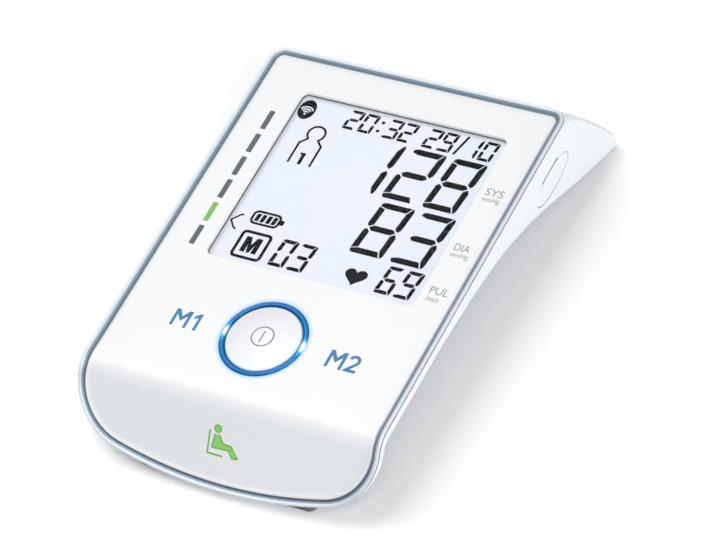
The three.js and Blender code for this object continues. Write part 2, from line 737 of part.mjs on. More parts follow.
// Each piece, by name, as a solid in the panel's frame
const pieces = {

  front_cover() {
    const roundedEdge = [0, 1, 2].map((step) => {
      const angle = step * Math.PI / 4;
      return flatRing(
        coverInset + coverEdgeRound * (1 - Math.sin(angle)),
        coverEdgeRound * (Math.cos(angle) - 1),
      );
    });
    const shell = solid(loft([
      ...roundedEdge,
      flatRing(coverInset, -coverSkirtDepth),
      flatRing(coverInset + coverSkirtWidth, -coverSkirtDepth),
      flatRing(coverInset + coverSkirtWidth, -coverThickness),
    ], true));
    const bosses = screwSpots.map(([, x, y]) => rod(bossRadius, x, y, -bossEnd, -coverThickness / 2));
    const pilots = screwSpots.map(([, x, y]) => rod(pilotRadius, x, y, -bossEnd - 1, -coverThickness));
    const window = framed(0);
    const chamfer = new THREE.ExtrudeGeometry(window, {
      depth: windowChamfer, bevelEnabled: true, bevelSegments: 1, curveSegments: 3,
      bevelThickness: windowChamfer, bevelSize: windowChamfer,
    });
    return cut(
      join(shell, ...bosses),
      ...pilots,
      plate(window, windowX, windowY, -coverThickness - 1, 1),
      solid(chamfer.translate(windowX, windowY, 0)),
      plate(framed(lensFlange + gap), windowX, windowY, -coverThickness - 1, gap - lensDepth),
      rod(ringOuter + gap, 0, 0, -coverThickness - 1, 1, ringSides),
    );
  },

  rim() {
    return solid(loft(rimRings, false));
  },

  groove_seal() {
    const outer = rimWidth + (grooveWidth - beadWidth) / 2;
    const under = rimFoot - rimLegDepth + gap;
    return solid(loft([
      flatRing(outer, under),
      flatRing(outer, -beadTop),
      flatRing(outer + beadWidth, -beadTop),
      flatRing(outer + beadWidth, under),
    ], false));
  },

  lower_housing() {
    const inside = within(wall / 2);
    const posts = screwSpots.map(([, x, y]) => rod(postRadius, x, y, -deepest, -postTop));
    const boardRests = boardPosts.map(([x, y]) => (
      rod(boardPostRadius, x, y, -deepest, -boardUnder - gap)));
    const lipRests = [-1, 1].map((side) => {
      const x = indicatorX + side * (lipBoardWidth / 2 - lipRestWidth / 2);
      return solid(new THREE.BoxGeometry(lipRestWidth, lipBoardLength / 2, plateDepth)
        .translate(x, 0, -lipBoardUnder - gap - plateDepth / 2)
        .applyMatrix4(toLip));
    });
    const portBlock = block(portInner, portProud,
      portY - portBlockLength / 2, portY + portBlockLength / 2,
      -portDepth - portBlockHeight / 2, -portDepth + portBlockHeight / 2);
    const fittings = [...posts, ...boardRests, ...lipRests, portBlock];
    const whole = join(housingShell(), ...fittings.map((piece) => piece.intersect(inside)));
    const wells = screwSpots.map(([, x, y]) => rod(wellRadius, x, y, -deepest, -wellTop));
    const shankHoles = screwSpots.map(([, x, y]) => rod(pilotRadius, x, y, -wellTop - 1, -postTop + 1));
    const footPockets = footSpots.map(([, x, y]) => cut(footPad(x, y, gap), within(footSink + gap)));
    const slitMiddle = flapHalfHeight + gap / 2 - portDepth;
    const slit = block(0, portProud, portY - nailSlitLength / 2, portY + nailSlitLength / 2,
      slitMiddle - nailSlitHeight, slitMiddle + nailSlitHeight);
    const cuffHole = rodAcross(cuffBodyRadius + gap, -portProud, -halfWidth + 2 * wall, cuffY, -cuffDepth);
    const cuffRecess = rodAcross(cuffFlangeRadius + gap, -portProud,
      cuffMouth + cuffFlangeThickness + gap, cuffY, -cuffDepth);
    return cut(
      whole, ...wells, ...shankHoles, ...footPockets, cuffHole, cuffRecess,
      cut(sidePlate(oval(gap), 0, portProud, portY, -portDepth), within(flapThickness + gap)),
      cut(slit, within(nailSlitDepth)),
      sidePlate(roundedRect(pocketLength, pocketHeight, pocketCorner), pocketFloor, portProud,
        portY, -portDepth, 2),
      sidePlate(usbOutline(gap), 0, portProud, portY, -portDepth, 2),
    );
  },

  display_lens() {
    return plate(framed(lensFlange), windowX, windowY, -lensDepth - lensThickness, -lensDepth);
  },

  lcd_glass() {
    return plate(framed(glassMargin, windowCorner), windowX, windowY, -glassTop - glassThickness, -glassTop);
  },

  backlight_panel() {
    const height = glassHeight - connectorDepth - gap;
    const shape = roundedRect(glassWidth, height, windowCorner);
    return plate(shape, windowX, windowY + (glassHeight - height) / 2, -displayUnder, -backlightTop);
  },

  display_connector() {
    const shape = roundedRect(connectorShare * glassWidth, connectorDepth, gap);
    return plate(shape, windowX, windowY - (glassHeight - connectorDepth) / 2, -boardTop, -backlightTop);
  },

  display_holder() {
    const inside = glassMargin + gap;
    return cut(
      plate(framed(inside + holderWidth), windowX, windowY, -boardTop, -glassTop),
      plate(framed(inside, windowCorner + gap), windowX, windowY, -boardDepth, 0),
    );
  },

  start_button() {
    return turned([
      [0, buttonTop - buttonDish],
      [0.55 * buttonRadius, buttonTop - 0.7 * buttonDish],
      [buttonRadius - 2 * buttonEdgeRound, buttonTop],
      [buttonRadius - 0.3 * buttonEdgeRound, buttonTop - 0.3 * buttonEdgeRound],
      [buttonRadius, buttonTop - buttonEdgeRound],
      [buttonRadius, -buttonSkirt],
      [buttonRadius + buttonFlange, -buttonSkirt],
      [buttonRadius + buttonFlange, -buttonUnder],
      [buttonRadius - buttonWall, -buttonUnder],
      [buttonRadius - buttonWall, -buttonRoof],
      [domeRadius, -buttonRoof],
      [domeRadius, -buttonUnder],
      [0, -buttonUnder],
    ], ringSides);
  },

  button_light_ring() {
    const flangeTop = ringFlangeThickness - ringUnder;
    const edge = 0.3 * ringWidth;
    return turned([
      [ringInner, -ringUnder],
      [ringOuter + ringFlange, -ringUnder],
      [ringOuter + ringFlange, flangeTop],
      [ringOuter, flangeTop],
      [ringOuter, ringProud - edge],
      [ringOuter - edge, ringProud],
      [ringInner + edge, ringProud],
      [ringInner, ringProud - edge],
      [ringInner, -ringUnder],
    ], ringSides);
  },

  button_dome() {
    return turned([
      [0, -boardTop],
      [domeRadius, -boardTop],
      [domeTopRadius, -domeTop],
      [0, -domeTop],
    ]);
  },

  touch_pad_m1: () => rod(touchPadRadius, -touchX, touchY, -boardTop, -coverThickness - gap),
  touch_pad_m2: () => rod(touchPadRadius, touchX, touchY, -boardTop, -coverThickness - gap),

  main_board() {
    const shape = roundedRect(2 * boardHalfWidth, boardRear + boardFront, boardCorner);
    return plate(shape, 0, (boardRear - boardFront) / 2, -boardUnder, -boardDepth);
  },

  processor: () => hungBlock(0, chipY, chipSize, chipSize, chipThickness),
  buzzer: () => rod(buzzerRadius, buzzerX, buzzerY, -hung - buzzerThickness, -hung),
  battery: () => hungBlock(0, batteryFront + batteryLength / 2, batteryWidth, batteryLength,
    batteryThickness),

  radio_module() {
    return block(radioX - radioLength / 2, radioX + radioLength / 2,
      radioY - radioWidth / 2, radioY + radioWidth / 2, -boardTop, radioThickness - boardTop);
  },

  pump_motor() {
    const can = rodAcross(pumpMotorRadius, pumpMotorX, pumpMotorX + pumpMotorLength, pumpY, -pumpDepth);
    const end = pumpMotorX + pumpMotorLength;
    return join(can, rodAcross(motorBush, end - 1, end + motorBushLength, pumpY, -pumpDepth));
  },

  pump_head() {
    const x = pumpMotorX - gap;
    const head = rodAcross(pumpHeadRadius, x - pumpHeadLength, x, pumpY, -pumpDepth);
    return join(head, stubAlong(nozzleX, pumpY - pumpHeadRadius - nozzleLength, pumpY, -nozzleDepth));
  },

  pump_mount_left: () => pumpMount(pumpMotorX + pumpMountInset),
  pump_mount_right: () => pumpMount(pumpMotorX + pumpMotorLength - pumpMountInset - pumpMountWidth),

  air_manifold() {
    const half = manifoldSize / 2;
    const reach = half + stubLength;
    return join(
      block(manifoldX - half, manifoldX + half, cuffY - half, cuffY + half,
        -manifoldDepth - half, -manifoldDepth + half),
      rodAcross(barbRadius, manifoldX - reach, manifoldX, cuffY, -cuffDepth, stubSides),
      rodAcross(barbRadius, manifoldX, manifoldX + reach, manifoldPortY, -nozzleDepth, stubSides),
    );
  },

  release_valve() {
    const seat = cuffY - manifoldSize / 2 - gap;
    const end = seat - stubLength;
    return join(
      block(manifoldX - valveWidth / 2, manifoldX + valveWidth / 2, end - valveLength, end,
        -hung - valveHeight, -hung),
      stubAlong(manifoldX, end - 1, seat, -hung - valveHeight + barbRadius),
    );
  },

  pressure_sensor() {
    const y = boardRear - sensorSize / 2;
    return join(
      hungBlock(manifoldX, y, sensorSize, sensorSize, sensorHeight),
      rod(barbRadius, manifoldX, y, manifoldSize / 2 + gap - manifoldDepth, -hung - 1, stubSides),
    );
  },

  air_tube_cuff() {
    const from = cuffMouth + cuffBoreDepth + cuffBackWall + gap;
    const to = manifoldX - manifoldSize / 2 - gap;
    return tube([[from, cuffY, -cuffDepth], [to, cuffY, -cuffDepth]], 2);
  },

  air_tube_pump() {
    const start = pumpY - pumpHeadRadius - gap;
    const turn = tubeBend * (1 - Math.SQRT1_2);
    return tube([
      [nozzleX, start, -nozzleDepth],
      [nozzleX, manifoldPortY + tubeBend, -nozzleDepth],
      [nozzleX - turn, manifoldPortY + turn, -nozzleDepth],
      [nozzleX - tubeBend, manifoldPortY, -nozzleDepth],
      [manifoldX + manifoldSize / 2 + gap, manifoldPortY, -nozzleDepth],
    ], 14);
  },

  cuff_socket() {
    const back = cuffBoreDepth + cuffBackWall;
    return turnedAcross([
      [cuffBoreRadius, 0],
      [cuffFlangeRadius, 0],
      [cuffFlangeRadius, cuffFlangeThickness],
      [cuffBodyRadius, cuffFlangeThickness],
      [cuffBodyRadius, back],
      [barbRadius, back],
      [barbRadius, back + barbLength],
      [barbBore, back + barbLength],
      [barbBore, cuffBoreDepth],
      [cuffBoreRadius, cuffBoreDepth],
      [cuffBoreRadius, 0],
    ], cuffMouth, cuffY, -cuffDepth);
  },

  charging_socket() {
    const front = pocketFloor;
    const back = front - usbLength;
    const shell = cut(
      sidePlate(usbOutline(0), back, front, portY, -portDepth, 2),
      sidePlate(usbOutline(-usbShell), back + 1, front + 1, portY, -portDepth, 2),
    );
    const tongue = block(back + 0.5, front - usbTongue, portY - usbWidth / 4, portY + usbWidth / 4,
      -portDepth - usbTongue / 2, -portDepth + usbTongue / 2);
    return join(shell, tongue);
  },

  charging_board() {
    const top = -portDepth - usbHeight / 2 - gap;
    return block(portInner - gap - usbBoardLength, portInner - gap,
      portY - usbBoardWidth / 2, portY + usbBoardWidth / 2, top - usbBoardThickness, top);
  },

  port_cover() {
    const flap = sidePlate(oval(0), 0, portProud, portY, -portDepth);
    return cut(flap.intersect(within(0)), within(flapThickness));
  },
};

for (const [name, x, y] of screwSpots) {
  pieces[name] = () => join(
    rod(screwHeadRadius, x, y, -wellTop - gap - screwHeadHeight, -wellTop - gap, 16),
    rod(screwShankRadius, x, y, -wellTop - gap - 1, -coverThickness - gap, 10),
  );
}

for (const [name, x, y] of footSpots) {
  pieces[name] = () => cut(footPad(x, y, 0), within(footSink));
}

// Pieces that lie in the bent lip, in the lip's own frame
const lipPieces = {
  rest_indicator_guide() {
    const shape = roundedRect(indicatorWidth, indicatorLength, indicatorCorner);
    return plate(shape, 0, 0, -coverThickness - gap - indicatorThickness, -coverThickness - gap);
  },
  lip_board() {
    const shape = roundedRect(lipBoardWidth, lipBoardLength, lipBoardCorner);
    return plate(shape, 0, 0, -lipBoardUnder, -lipBoardTop);
  },
};

// Finishes: colour, roughness, metalness
const finishes = {
  glossWhite: [0xf4f6f8, 0.25, 0],
  trimSilver: [0xb9c6d3, 0.3, 0.4],
  sealGrey: [0x4f6272, 0.7, 0],
  clearLens: [0xe9f1f8, 0.08, 0],
  lcdGlass: [0xdfe9f3, 0.15, 0],
  lightWhite: [0xf7fbff, 0.5, 0],
  lightBlue: [0x1f7fd6, 0.2, 0],
  lightGreen: [0x8ed06a, 0.4, 0],
  holderGrey: [0xd9dde1, 0.6, 0],
  boardGreen: [0x1f6b3a, 0.5, 0],
  chipBlack: [0x1b1c1e, 0.5, 0],
  steel: [0xb8bcc0, 0.35, 1],
  copper: [0xb58b4a, 0.4, 1],
  rubberGrey: [0x6d7378, 0.85, 0],
  silicone: [0xe6e3da, 0.6, 0],
  batterySilver: [0xa8b2bd, 0.45, 0.3],
};

const finishOf = {
  front_cover: 'glossWhite', rim: 'trimSilver', groove_seal: 'sealGrey', lower_housing: 'glossWhite',
  display_lens: 'clearLens', lcd_glass: 'lcdGlass', backlight_panel: 'lightWhite',
  display_connector: 'rubberGrey', display_holder: 'holderGrey', start_button: 'glossWhite',
  button_light_ring: 'lightBlue', button_dome: 'silicone', touch_pad_m1: 'rubberGrey',
  touch_pad_m2: 'rubberGrey', main_board: 'boardGreen', processor: 'chipBlack', buzzer: 'copper',
  battery: 'batterySilver', radio_module: 'chipBlack', pump_motor: 'steel', pump_head: 'chipBlack',
  pump_mount_left: 'rubberGrey', pump_mount_right: 'rubberGrey', air_manifold: 'holderGrey',
  release_valve: 'chipBlack', pressure_sensor: 'chipBlack', air_tube_cuff: 'silicone',
  air_tube_pump: 'silicone', cuff_socket: 'holderGrey', charging_socket: 'steel',
  charging_board: 'boardGreen', port_cover: 'glossWhite', rest_indicator_guide: 'lightGreen',
  lip_board: 'boardGreen',
};

function material(name) {
  const fallback = name.startsWith('screw') ? 'steel' : 'rubberGrey';
  const [color, roughness, metalness] = finishes[finishOf[name] ?? fallback];
  return new THREE.MeshStandardMaterial({ color, roughness, metalness });
}

function place(group, made) {
  for (const [name, make] of Object.entries(made)) {
    const mesh = new THREE.Mesh(surfaceOf(make()), material(name));
    mesh.name = name;
    group.add(mesh);
  }
}

const monitor = new THREE.Group();
const panel = new THREE.Group();
panel.rotation.x = panelTilt;
panel.position.set(0, -centreY, lift);
monitor.add(panel);
place(panel, pieces);

const bentLip = new THREE.Group();
bentLip.rotation.x = lipAngle;
bentLip.position.set(indicatorX, ...onSkin(0, -indicatorS, 0).slice(1));
panel.add(bentLip);
place(bentLip, lipPieces);

export default monitor;
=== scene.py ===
import math

import bmesh
import bpy
import numpy as np
from mathutils import Matrix
from mathutils.geometry import tessellate_polygon
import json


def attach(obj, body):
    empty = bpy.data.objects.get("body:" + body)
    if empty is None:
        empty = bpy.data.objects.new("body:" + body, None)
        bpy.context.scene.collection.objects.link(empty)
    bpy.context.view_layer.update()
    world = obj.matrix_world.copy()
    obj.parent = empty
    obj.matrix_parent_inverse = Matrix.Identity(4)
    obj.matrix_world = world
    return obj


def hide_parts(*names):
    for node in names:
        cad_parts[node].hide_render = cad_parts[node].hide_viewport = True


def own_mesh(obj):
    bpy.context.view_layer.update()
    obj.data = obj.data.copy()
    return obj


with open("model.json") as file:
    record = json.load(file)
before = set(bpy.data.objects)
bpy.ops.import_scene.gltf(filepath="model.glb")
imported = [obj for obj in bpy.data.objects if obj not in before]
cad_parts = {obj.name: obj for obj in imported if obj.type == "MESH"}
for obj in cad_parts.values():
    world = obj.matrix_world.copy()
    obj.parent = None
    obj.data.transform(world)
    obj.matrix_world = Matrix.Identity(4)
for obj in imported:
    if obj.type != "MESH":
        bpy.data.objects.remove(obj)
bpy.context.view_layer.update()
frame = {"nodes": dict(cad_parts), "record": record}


# Camera: a long lens that looks down at 45 degrees from the front right, so the edges of the body
# stay nearly parallel. Its axes are the directions of the picture's right, its top and the viewer.
sight_place = (0.612987, -0.730712, 0.966291)
sight_axes = ((0.86444, 0.46324, -0.19533), (-0.22136, 0.69955, 0.67943), (0.45139, -0.54409, 0.70727))
lens = bpy.data.cameras.new("camera")
lens.lens = 195.93
lens.sensor_width = 36
lens.clip_start = 0.05
lens.clip_end = 30
camera = bpy.data.objects.new("camera", lens)
camera.matrix_world = Matrix.Translation(sight_place) @ Matrix(sight_axes).transposed().to_4x4()
bpy.context.scene.collection.objects.link(camera)
bpy.context.scene.camera = camera
bpy.context.scene.view_settings.view_transform = "Standard"


# Floor and light: a white paper sweep under three soft lamps, as for a catalogue picture: a large one
# high on the left, one high at the front right and a small low one at the right. The paper shows white
# to the camera and in reflections, and keeps the object's shadow.
def paint(hex_colour):
    """A colour written as sRGB hex, as linear light.

    Each channel is divided by 12.92 up to 0.04045, and above that it is (channel + 0.055) / 1.055
    to the power 2.4.
    """
    channels = [int(hex_colour[k:k + 2], 16) / 255 for k in (1, 3, 5)]
    return [c / 12.92 if c <= 0.04045 else ((c + 0.055) / 1.055) ** 2.4 for c in channels] + [1.0]


def add(tree, kind, inputs=None, **settings):
    """One more node in a material: its settings, and its inputs as values or as other nodes' outputs."""
    made = tree.nodes.new(kind)
    for name, value in settings.items():
        setattr(made, name, value)
    for name, value in (inputs or {}).items():
        if isinstance(value, bpy.types.NodeSocket):
            tree.links.new(value, made.inputs[name])
        else:
            made.inputs[name].default_value = value
    return made


def new_material(name):
    """An empty material and its node tree."""
    material = bpy.data.materials.new(name)
    material.use_nodes = True
    material.node_tree.nodes.clear()
    return material, material.node_tree


# The paper is bright where the camera sees it, directly, in a reflection or through glass.
paper, tree = new_material("white_paper")
rays = add(tree, "ShaderNodeLightPath")
seen = rays.outputs["Is Camera Ray"]
for kind in ("Is Glossy Ray", "Is Transmission Ray"):
    seen = add(tree, "ShaderNodeMath", {0: seen, 1: rays.outputs[kind]}, operation="MAXIMUM").outputs[0]
matt = add(tree, "ShaderNodeBsdfDiffuse", {"Color": paint("#e6eaef")})
bright = add(tree, "ShaderNodeBsdfDiffuse", {"Color": (1, 1, 1, 1)})
glow = add(tree, "ShaderNodeEmission", {"Color": (1, 1, 1, 1), "Strength": 0.1})
both = add(tree, "ShaderNodeAddShader", {0: bright.outputs[0], 1: glow.outputs[0]})
mixed = add(tree, "ShaderNodeMixShader", {0: seen, 1: matt.outputs[0], 2: both.outputs[0]})
add(tree, "ShaderNodeOutputMaterial", {"Surface": mixed.outputs[0]})
floor_mesh = bpy.data.meshes.new("floor")
floor_half = 4.0
corners = [(x * floor_half, y * floor_half, 0) for x, y in ((-1, -1), (1, -1), (1, 1), (-1, 1))]
floor_mesh.from_pydata(corners, [], [(0, 1, 2, 3)])
floor = bpy.data.objects.new("floor", floor_mesh)
floor_mesh.materials.append(paper)
bpy.context.scene.collection.objects.link(floor)

sky = bpy.data.worlds.new("studio")
sky.use_nodes = True
tree = sky.node_tree
tree.nodes.clear()
room = add(tree, "ShaderNodeBackground", {"Color": paint("#fbfcfd"), "Strength": 0.1})
white = add(tree, "ShaderNodeBackground", {"Color": (1, 1, 1, 1), "Strength": 1.0})
rays = add(tree, "ShaderNodeLightPath")
mixed = add(tree, "ShaderNodeMixShader",
            {0: rays.outputs["Is Camera Ray"], 1: room.outputs[0], 2: white.outputs[0]})
add(tree, "ShaderNodeOutputWorld", {"Surface": mixed.outputs[0]})
bpy.context.scene.world = sky


def softbox(name, place, target, size, power):
    """A square lamp at a place, turned towards a target."""
    data = bpy.data.lights.new(name, "AREA")
    data.size = size
    data.energy = power
    made = bpy.data.objects.new(name, data)
    towards = Matrix.Translation(target).translation - Matrix.Translation(place).translation
    made.matrix_world = Matrix.Translation(place) @ towards.to_track_quat("-Z", "Y").to_matrix().to_4x4()
    bpy.context.scene.collection.objects.link(made)


softbox("key_softbox", (-0.46, 0.08, 1.26), (0, 0, 0.03), 1.2, 14.2)
softbox("front_softbox", (0.7, -0.7, 1.0), (0, 0, 0.03), 0.8, 6.2)
softbox("fill_softbox", (1.2, -0.25, 0.26), (0, 0, 0.02), 0.45, 6.9)


# Lower housing: one bath-shaped moulding of glossy white ABS, rolled under at the sides, bent down at
# the front lip and swelling at the back into the foot that holds the air pump. Injection moulded.

# Sizes from here on are in millimetres in the panel's own frame: x across, y or s back along the
# panel from the start button's middle, and z up, or a depth down, square to the panel.
gap = 0.3
wall = 2.0

# The plan outline and the bend of the lip.
half_width = 58.9
rear_reach = 119.9
front_reach = 58.1
rear_corner = 5.6
front_corner = 23.3
front_arc = 173.9
lip_start = 21.3
lip_radius = 10.8
lip_angle = math.radians(48.5)
arc_centre = front_arc - front_reach
corner_x = half_width - front_corner
corner_s = arc_centre - math.sqrt((front_arc - front_corner) ** 2 - corner_x ** 2)
corner_turn = math.atan2(arc_centre - corner_s, corner_x)
tightest = 0.6

# The rim's seat, the thin front plate and the ramp of the rear foot.
housing_top = 0.5
ledge_depth = 2.9
plate_depth = 8.6
ramp_start = 66.0
ramp_slope = 0.44
ramp_blend = 10.0

# The squarer rear corners, and the slopes of the sides and of the back wall.
corner_squaring = 3.4
squared_depth = 7.0
side_splay = 0.02
splay_depth = 28.0
lean_start = 35.0
lean_full = 105.0
lean_slope = 0.72
lean_curve = 0.0027
upright_below = 35.6
upright_blend = 1.0

# The rounding of the lower edge: across and down at the front, then at the foot and at the heel.
roll_start = 10.0
roll_full = 85.0
heel_start = 78.0
heel_full = 100.0
front_roll = (10.0, 7.4)
foot_roll = 5.0
heel_roll = 2.2
crowding = 1.6

# The panel's directions and its zero in the row frame, from the record's two joints.
joints = {joint["name"]: joint for joint in frame["record"]["behaviour"]["joints"]}
panel_back = np.array(joints["port_cover_hinge"]["axis"])
panel_up = -np.array(joints["start_button_press"]["axis"])
panel_axes = np.array([(1.0, 0.0, 0.0), panel_back, panel_up])
port_y = 100.0
port_depth = 12.9
flap_half = (12.4, 4.3)
hinge_place = (59.19, port_y, -port_depth - flap_half[1])
panel_zero = 1000 * np.array(joints["port_cover_hinge"]["pos_m"]) - np.array(hinge_place) @ panel_axes

# The stations of the outline: how far along, or at which angle, each of its six stretches has points.
rear_edge = np.linspace(0, 1, 5)[:-1]
rear_turns = np.linspace(math.pi / 2, 0, 17)
side_stops = np.linspace(rear_reach - 2 * rear_corner, -lip_start, 43)
bend_stops = np.linspace(-lip_start, -lip_start - lip_radius * lip_angle, 13)[1:]
corner_turns = np.linspace(0, -corner_turn, 21)
tip_turns = np.linspace(-corner_turn, -math.pi / 2, 15)[1:]
station_count = sum(len(part) for part in
                    (rear_edge, rear_turns, side_stops, bend_stops, corner_turns, tip_turns))


def outline(inset, squared=0.0):
    """Half the plan outline, (x, s) for each station, a distance inside the body's outer edge.

    From the middle of the rear edge: the straight edge, a corner arc whose radius shrinks with the
    inset, the straight side, the front corner's arc and the wide arc of the lip up to its middle.
    inset is one number, or an array whose last axis is the stations; so is squared, by which the
    rear corner's radius is less than at the top.
    """
    shape = np.broadcast_shapes(np.shape(inset), np.shape(squared), (station_count,))
    inset = np.broadcast_to(np.asarray(inset, float), shape)
    marks = np.cumsum([len(part) for part in (rear_edge, rear_turns, side_stops, bend_stops, corner_turns)])
    edge, rear, side, bend, corner, tip = np.split(inset, marks, axis=-1)
    radius = np.maximum(rear_corner - squared - inset, tightest)
    r_edge, r_rear = np.split(radius, marks, axis=-1)[:2]
    x = [rear_edge * (half_width - edge - r_edge),
         half_width - rear - r_rear + r_rear * np.cos(rear_turns),
         half_width - side, half_width - bend,
         corner_x + (front_corner - corner) * np.cos(corner_turns),
         (front_arc - tip) * np.cos(tip_turns)]
    s = [rear_reach - edge,
         rear_reach - rear - r_rear + r_rear * np.sin(rear_turns),
         side_stops + 0 * side, bend_stops + 0 * bend,
         corner_s + (front_corner - corner) * np.sin(corner_turns),
         arc_centre + (front_arc - tip) * np.sin(tip_turns)]
    return np.concatenate(x, -1), np.concatenate(s, -1)


def on_skin(x, s, height):
    """Carries points round the bend of the lip.

    Past the start of the bend a point turns about an axis across the body, with the bend's radius
    plus its height; the turn grows with the distance until the bend ends, then it runs on straight.
    """
    past = -lip_start - s
    turn = np.clip(past / lip_radius, 0, lip_angle)
    beyond = past - turn * lip_radius
    r = lip_radius + height
    return np.stack(np.broadcast_arrays(
        x, -lip_start - r * np.sin(turn) - beyond * np.cos(turn),
        -lip_radius + r * np.cos(turn) - beyond * np.sin(turn)), -1)


def both_sides(right):
    """Closes half a ring with its mirror image: the middle points aren't repeated."""
    return np.concatenate([right, right[..., -2:0:-1, :] * (-1, 1, 1)], -2)


def flat_ring(inset, height):
    """The outline at an inset, at a height out of the skin, as a closed ring of points."""
    x, s = outline(inset)
    return both_sides(on_skin(x, s, height))


def smoothstep(value, low, high):
    """0 below low, 1 above high, and 3t^2 - 2t^3 between them."""
    t = np.clip((value - low) / (high - low), 0, 1)
    return t * t * (3 - 2 * t)


def underside_depth(s):
    """Depth of the underside: level under the display, then a ramp, blended as a hyperbola."""
    run = (s - ramp_start) * ramp_slope
    return plate_depth + (run + np.hypot(run, ramp_blend)) / 2


def squareness(depth):
    """How much less the housing's rear corner is rounded, a smooth step from the rim down."""
    return corner_squaring * smoothstep(depth, housing_top, squared_depth)


def splay(depth):
    """The share by which the body has got wider: the sides slope out a little below the ledge."""
    return 1 + side_splay * np.clip(depth - ledge_depth, 0, splay_depth) / half_width


def lean(s, depth):
    """How far the back wall slides outwards: a slope times the depth below the rim, less a little of
    the depth's square, until the wall turns upright above the heel, blended as a hyperbola.
    """
    down = np.maximum(0, depth - housing_top)
    past = down - upright_below
    slide = down - (past + np.hypot(past, upright_blend)) / 2
    return smoothstep(s, lean_start, lean_full) * (lean_slope * slide - lean_curve * slide ** 2)


def rolled_edge(skin, top, turns):
    """Rings of the rounded lower edge, a skin's thickness inside the surface, for angles from 0 at the
    foot of the wall to 90 degrees at the flat underside: a quarter ellipse across and down, smaller
    towards the heel and where the body is thin. A point's depth depends on how far back it comes to
    lie, and that on its depth, so both are worked out six times over.
    """
    turns = np.reshape(turns, (-1, 1))
    base = outline(skin)[1]
    foot = smoothstep(base, roll_start, roll_full)
    heel = smoothstep(base, heel_start, heel_full)
    across, down = [front + (foot_roll - front) * foot + (heel_roll - foot_roll) * heel - skin
                    for front in front_roll]
    across = np.maximum(across, tightest)
    room = underside_depth(base) - skin - top - tightest
    down = np.minimum(np.maximum(down, tightest), room)
    s = base + 0 * turns
    for _ in range(6):
        depth = underside_depth(s) - skin - down * (1 - np.sin(turns))
        x, s = outline(skin + across * (1 - np.cos(turns)), squareness(depth))
        s = s + lean(base, depth)
    return x * splay(depth), s, depth


def body_form(skin, top, turn_steps, wall_steps):
    """The housing's form from the edge of its flat underside up to the top of its wall: the rolled
    edge, then the straight wall, whose rings lie closer together towards the top.
    """
    turns = np.linspace(math.pi / 2, 0, turn_steps + 1)
    x, s, depth = rolled_edge(skin, top, turns)
    share = np.linspace(1, 0, wall_steps + 1)[1:].reshape(-1, 1) ** crowding
    down = top + (depth[-1:] - top) * share
    wall_x, wall_s = outline(skin, squareness(down))
    wall_s = wall_s + lean(wall_s, down)
    upper = on_skin(wall_x * splay(down), wall_s, -down)
    return both_sides(np.concatenate([on_skin(x, s, -depth), upper]))


def bands(rings, closed=False):
    """Four-sided faces between neighbouring rings of points, and from the last to the first if closed."""
    rows, count = len(rings), len(rings[0])
    number = np.arange(rows * count).reshape(rows, count)
    if closed:
        number = np.concatenate([number, number[:1]])
    nearer, further = number[:-1], number[1:]
    quads = np.stack([nearer, further, np.roll(further, -1, 1), np.roll(nearer, -1, 1)], -1)
    return quads.reshape(-1, 4).tolist()


def rungs(start, turned=False):
    """Faces across the body between the two halves of the ring that begins at point number start."""
    count = 2 * station_count - 2
    first = len(rear_edge)
    right = np.arange(first + 1, station_count - 2)
    quads = start + np.stack([right, right + 1, count - right - 1, count - right], -1)
    rear = [first + 1] + list(range(first, -1, -1)) + list(range(count - 1, count - first - 2, -1))
    tip = [station_count - 2, station_count - 1, station_count]
    faces = [[start + k for k in rear[::-1]]] + quads.tolist() + [[start + k for k in tip]]
    return [face[::-1] for face in faces] if turned else faces


def filled_across(rings):
    """Faces of the housing's form: bands between its rings, and rungs across the first and the last."""
    last = (len(rings) - 1) * rings.shape[1]
    return bands(rings) + rungs(0) + rungs(last, turned=True)


def make_piece(name, points, faces, sharp=40):
    """A mesh object from points in the panel's frame, in millimetres, placed in the row frame.

    Doubled points are merged, every face is turned outwards, and edges sharper than the given angle
    stay crisp under smooth shading.
    """
    mesh = bpy.data.meshes.new(name)
    placed = (np.reshape(points, (-1, 3)) @ panel_axes + panel_zero) / 1000
    mesh.from_pydata(placed.tolist(), [], faces)
    work = bmesh.new()
    work.from_mesh(mesh)
    bmesh.ops.remove_doubles(work, verts=work.verts, dist=1e-7)
    bmesh.ops.recalc_face_normals(work, faces=work.faces)
    work.to_mesh(mesh)
    work.free()
    made = bpy.data.objects.new(name, mesh)
    bpy.context.scene.collection.objects.link(made)
    crisp(made, sharp)
    return made


def crisp(made, sharp):
    """Smooth shading, with the edges that turn by more than this many degrees left sharp."""
    made.data.polygons.foreach_set("use_smooth", [True] * len(made.data.polygons))
    made.data.set_sharp_from_angle(angle=math.radians(sharp))


def cut_away(made, cutters, sharp=40, kept_in=None):
    """Takes the cutters' space out of a piece, for good, and removes the cutters. Of a piece that is
    kept in a form, what lies outside that form goes too.
    """
    if kept_in:
        cutters = cutters + [kept_in]
    for cutter in cutters:
        step = made.modifiers.new("cut", "BOOLEAN")
        step.operation = "INTERSECT" if cutter is kept_in else "DIFFERENCE"
        step.solver = "EXACT"
        step.object = cutter
    ready = made.evaluated_get(bpy.context.evaluated_depsgraph_get())
    mesh = bpy.data.meshes.new_from_object(ready)
    made.modifiers.clear()
    made.data = mesh
    for cutter in cutters:
        bpy.data.objects.remove(cutter)
    crisp(made, sharp)


def level(shape, height):
    """A closed outline (x, y) as a ring of points at one height."""
    return np.column_stack([shape, np.full(len(shape), height)])


def capped(rings):
    """Points and faces of a solid with bands between its rings, whose first and last ring are filled."""
    count = len(rings[0])
    last = count * (len(rings) - 1)
    ends = [list(range(count)), list(range(last, last + count))]
    return np.reshape(rings, (-1, 3)), bands(rings) + ends


